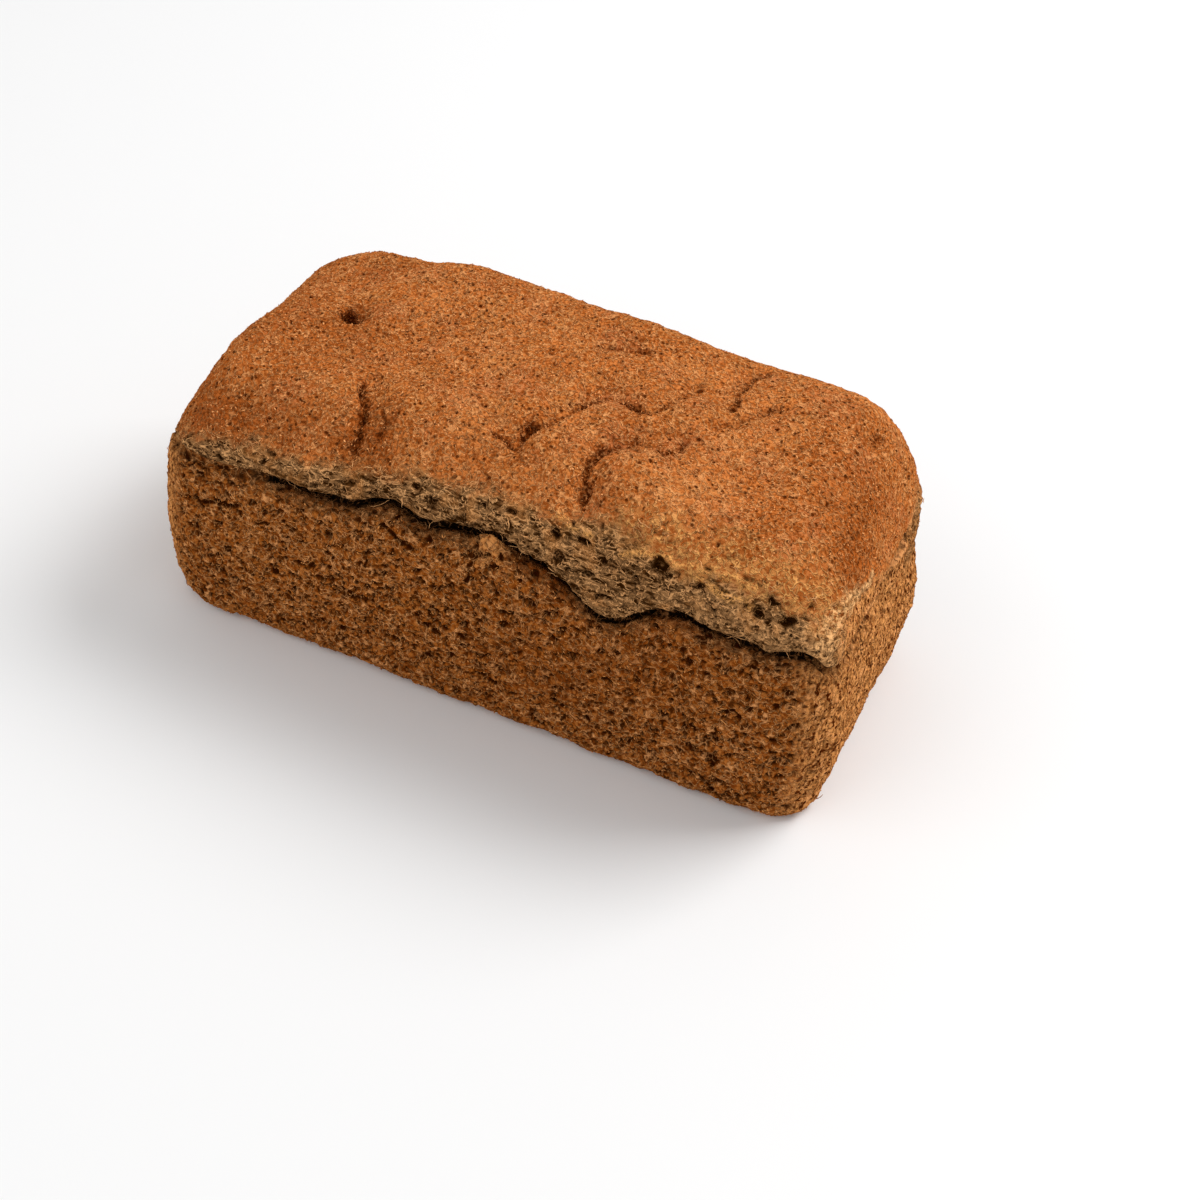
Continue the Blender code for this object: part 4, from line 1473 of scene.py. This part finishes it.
def flakes(points, facing, dice):
    """Thin five-sided bran flakes lying on the crust, as points of each flake."""
    count = len(points)
    along, across = side_directions(facing, dice)
    tilt = dice.normal(0, FLAKE_TILT, (count, 2))
    up = facing + tilt[:, :1] * along + tilt[:, 1:] * across
    up /= np.linalg.norm(up, axis=1, keepdims=True)
    along = along - (along * up).sum(axis=1, keepdims=True) * up
    across = np.cross(up, along)
    length = dice.uniform(*FLAKE_LENGTH, count)[:, None, None] / 2
    width = dice.uniform(*FLAKE_WIDTH, count)[:, None, None] / 2
    turn = np.arange(FLAKE_SIDES) * 2 * np.pi / FLAKE_SIDES
    turn = turn + dice.uniform(-FLAKE_RAGGEDNESS, FLAKE_RAGGEDNESS, (count, FLAKE_SIDES))
    rim = along[:, None] * np.cos(turn)[..., None] * length
    rim += across[:, None] * np.sin(turn)[..., None] * width
    rise = dice.uniform(0.0, FLAKE_RISE, (count, 1))
    centre = points + facing * rise
    rim += centre[:, None]
    top = centre + up * FLAKE_THICKNESS
    bottom = centre - up * FLAKE_THICKNESS
    return np.concatenate([rim, top[:, None], bottom[:, None]], axis=1)


def flake_faces(count):
    """Faces of all flakes: five above and five below each rim."""
    sides, top, bottom = FLAKE_SIDES, FLAKE_SIDES, FLAKE_SIDES + 1
    one = [(k, (k + 1) % sides, top) for k in range(sides)]
    one += [((k + 1) % sides, k, bottom) for k in range(sides)]
    first = np.arange(count)[:, None, None] * (sides + 2)
    return (first + np.array(one)[None]).reshape(-1, 3).tolist()


def add_shapes(name, shapes, faces_of, darkest, material, dice):
    """One piece made of many small shapes inside the solid's box, each in its own tone."""
    shapes = shapes[inside_box(shapes)]
    tone = np.repeat(dice.uniform(darkest, 1, len(shapes)), shapes.shape[1])
    add_piece(name, shapes.reshape(-1, 3), faces_of(len(shapes)), {"tone": tone}, material)


def add_flakes(name, skin, share, count, material, dice):
    """Bran flakes on one piece of the crust, more where the share is high."""
    picked = dice.choice(len(skin.points), count, p=share / share.sum())
    shapes = flakes(skin.points[picked], skin.normals()[picked], dice)
    add_shapes(name, shapes, flake_faces, FLAKE_DARKEST, material, dice)


def tubes(paths, radii):
    """Three-sided threads along paths, tapered to their tips, as points of each thread."""
    ahead = np.gradient(paths, axis=1)
    ahead /= np.maximum(np.linalg.norm(ahead, axis=2, keepdims=True), TINY)
    side = np.cross(ahead, THREAD_SIDE_HELPER)
    side /= np.maximum(np.linalg.norm(side, axis=2, keepdims=True), TINY)
    other = np.cross(ahead, side)
    taper = np.ones(paths.shape[1])
    taper[0], taper[-1] = THREAD_TIPS
    thick = radii[:, None, None] * taper[None, :, None]
    turns = [k * 2 * math.pi / 3 for k in range(3)]
    rings = [paths + thick * (math.cos(a) * side + math.sin(a) * other) for a in turns]
    return np.stack(rings, axis=2).reshape(len(paths), -1, 3)


def tube_faces(count):
    """Faces of all threads, with closed tips."""
    one = []
    for k in range(THREAD_STEPS - 1):
        for side in range(3):
            a, b = 3 * k + side, 3 * k + (side + 1) % 3
            one.append((a, b, b + 3, a + 3))
    last = 3 * THREAD_STEPS
    tips = [(2, 1, 0), (last - 3, last - 2, last - 1)]
    first = np.arange(count)[:, None, None] * last
    quads = (first + np.array(one)[None]).reshape(-1, 4)
    caps = (first + np.array(tips)[None]).reshape(-1, 3)
    return quads.tolist() + caps.tolist()


def lying_threads(points, facing, dice):
    """Paths of short curly threads that lie on the crumb and arch over its holes."""
    count = len(points)
    along, across = side_directions(facing, dice)
    bend = dice.normal(0, THREAD_BEND, (count, 1))
    bend = bend + np.cumsum(dice.normal(0, THREAD_CURL, (count, THREAD_STEPS)), axis=1)
    step = dice.uniform(*THREAD_STEP, (count, 1))
    ahead = np.cumsum(step * np.cos(bend), axis=1)
    sideways = np.cumsum(step * np.sin(bend), axis=1)
    arch = np.sin(np.linspace(0, np.pi, THREAD_STEPS)) * dice.uniform(*THREAD_ARCH, (count, 1))
    ahead -= ahead.mean(axis=1, keepdims=True)
    shift = along[:, None] * ahead[..., None] + across[:, None] * sideways[..., None]
    return points[:, None] + shift + facing[:, None] * (arch - THREAD_SINK)[..., None]


def bridging_threads(crown, walls, count, dice):
    """Paths of threads that still span the tear, from its lip to the wall under it."""
    around = 2 * (CELLS_LONG + CELLS_SHORT)
    gape = crown.gape[:around]
    front = np.arange(around) < CELLS_LONG
    share = np.where(front & (gape > BRIDGE_MIN_GAPE), gape, 0)
    start = dice.choice(around, count, p=share / share.sum())
    lip_row = (1 + CEILING_ROWS) * around
    edge_row = (WALL_ROWS + 1) * around
    top = crown.points[lip_row + start]
    slant = dice.integers(-BRIDGE_CELLS, BRIDGE_CELLS + 1, count)
    foot = walls.points[edge_row + (start + slant) % around]
    share = np.linspace(0, 1, THREAD_STEPS)[None, :, None]
    paths = top[:, None] * (1 - share) + foot[:, None] * share
    arch = np.sin(np.pi * share)
    paths[..., 1:2] += arch * dice.uniform(0.0, BRIDGE_SAG, (count, 1, 1))
    paths[..., :1] += arch * dice.uniform(-BRIDGE_SWAY, BRIDGE_SWAY, (count, 1, 1))
    return paths + dice.normal(0, BRIDGE_JITTER, paths.shape)


def picked_threads(skin, share, count, dice):
    """Paths of threads that lie on one piece, more where the share is high."""
    picked = dice.choice(len(skin.points), count, p=share / share.sum())
    return lying_threads(skin.points[picked], skin.normals()[picked], dice)


def add_threads(name, paths, material, dice):
    """Threads of crumb along paths."""
    shapes = tubes(paths, dice.uniform(*THREAD_RADIUS, len(paths)))
    add_shapes(name, shapes, tube_faces, THREAD_DARKEST, material, dice)


def add_scattered(crown, walls, crown_values):
    """Bran flakes on the crust and threads of crumb in the torn strip and on the walls."""
    dice = np.random.default_rng(SEED)
    strip = crown_values["strip"]
    upper = (1 - strip) * (1 - crown_values["inside"]) * (crown.points[:, 2] > SEAM_LEVEL)
    pale = scatter_material("bran", CRUST_BROWN, CRUST_PALE)
    add_flakes("bran_on_crown", crown, upper, CROWN_FLAKES, pale, dice)
    lower = np.clip(walls.points[:, 2] / WALL_CLEAR_OF_FOOT, 0, 1)
    lower = lower * (walls.offsets < -WALL_CLEAR_OF_TEAR)
    amber = scatter_material("bran_baked", WALL_BROWN, END_TAN)
    add_flakes("bran_on_walls", walls, lower, WALL_FLAKES, amber, dice)
    edges = FIELD_THREADS * strip + EDGE_THREADS * strip * (1 - strip)
    edges = edges * (crown.offsets > STRIP_CLEAR_OF_TEAR)
    paths = picked_threads(crown, edges, STRIP_THREADS, dice)
    paths = np.concatenate([paths, bridging_threads(crown, walls, GAP_THREADS, dice)])
    grey = scatter_material("crumb_threads", CRUMB_GREY, CRUMB_PALE)
    add_threads("crumb_threads", paths, grey, dice)
    paths = picked_threads(walls, lower, WALL_THREADS, dice)
    brown = scatter_material("wall_threads", WALL_BROWN, END_TAN)
    add_threads("wall_threads", paths, brown, dice)


def build_loaf():
    """Both pieces of the loaf, in place of its solid, with its bran and crumb threads."""
    crown, walls = crown_skin(), wall_skin()
    fit_to_box((crown, walls))
    crown_values = dress_crown(crown)
    wall_values = dress_walls(walls)
    fit_to_box((crown, walls))
    walls.points[:, 2] = np.maximum(walls.points[:, 2], 0)
    for name, skin, values, material in (
        ("loaf_crown", crown, crown_values, crown_material()),
        ("loaf_walls", walls, wall_values, wall_material()),
    ):
        piece = add_piece(name, skin.points, skin.faces, values, material)
        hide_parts("loaf")
    add_scattered(crown, walls, crown_values)


add_floor()
add_lights()
add_camera()
build_loaf()
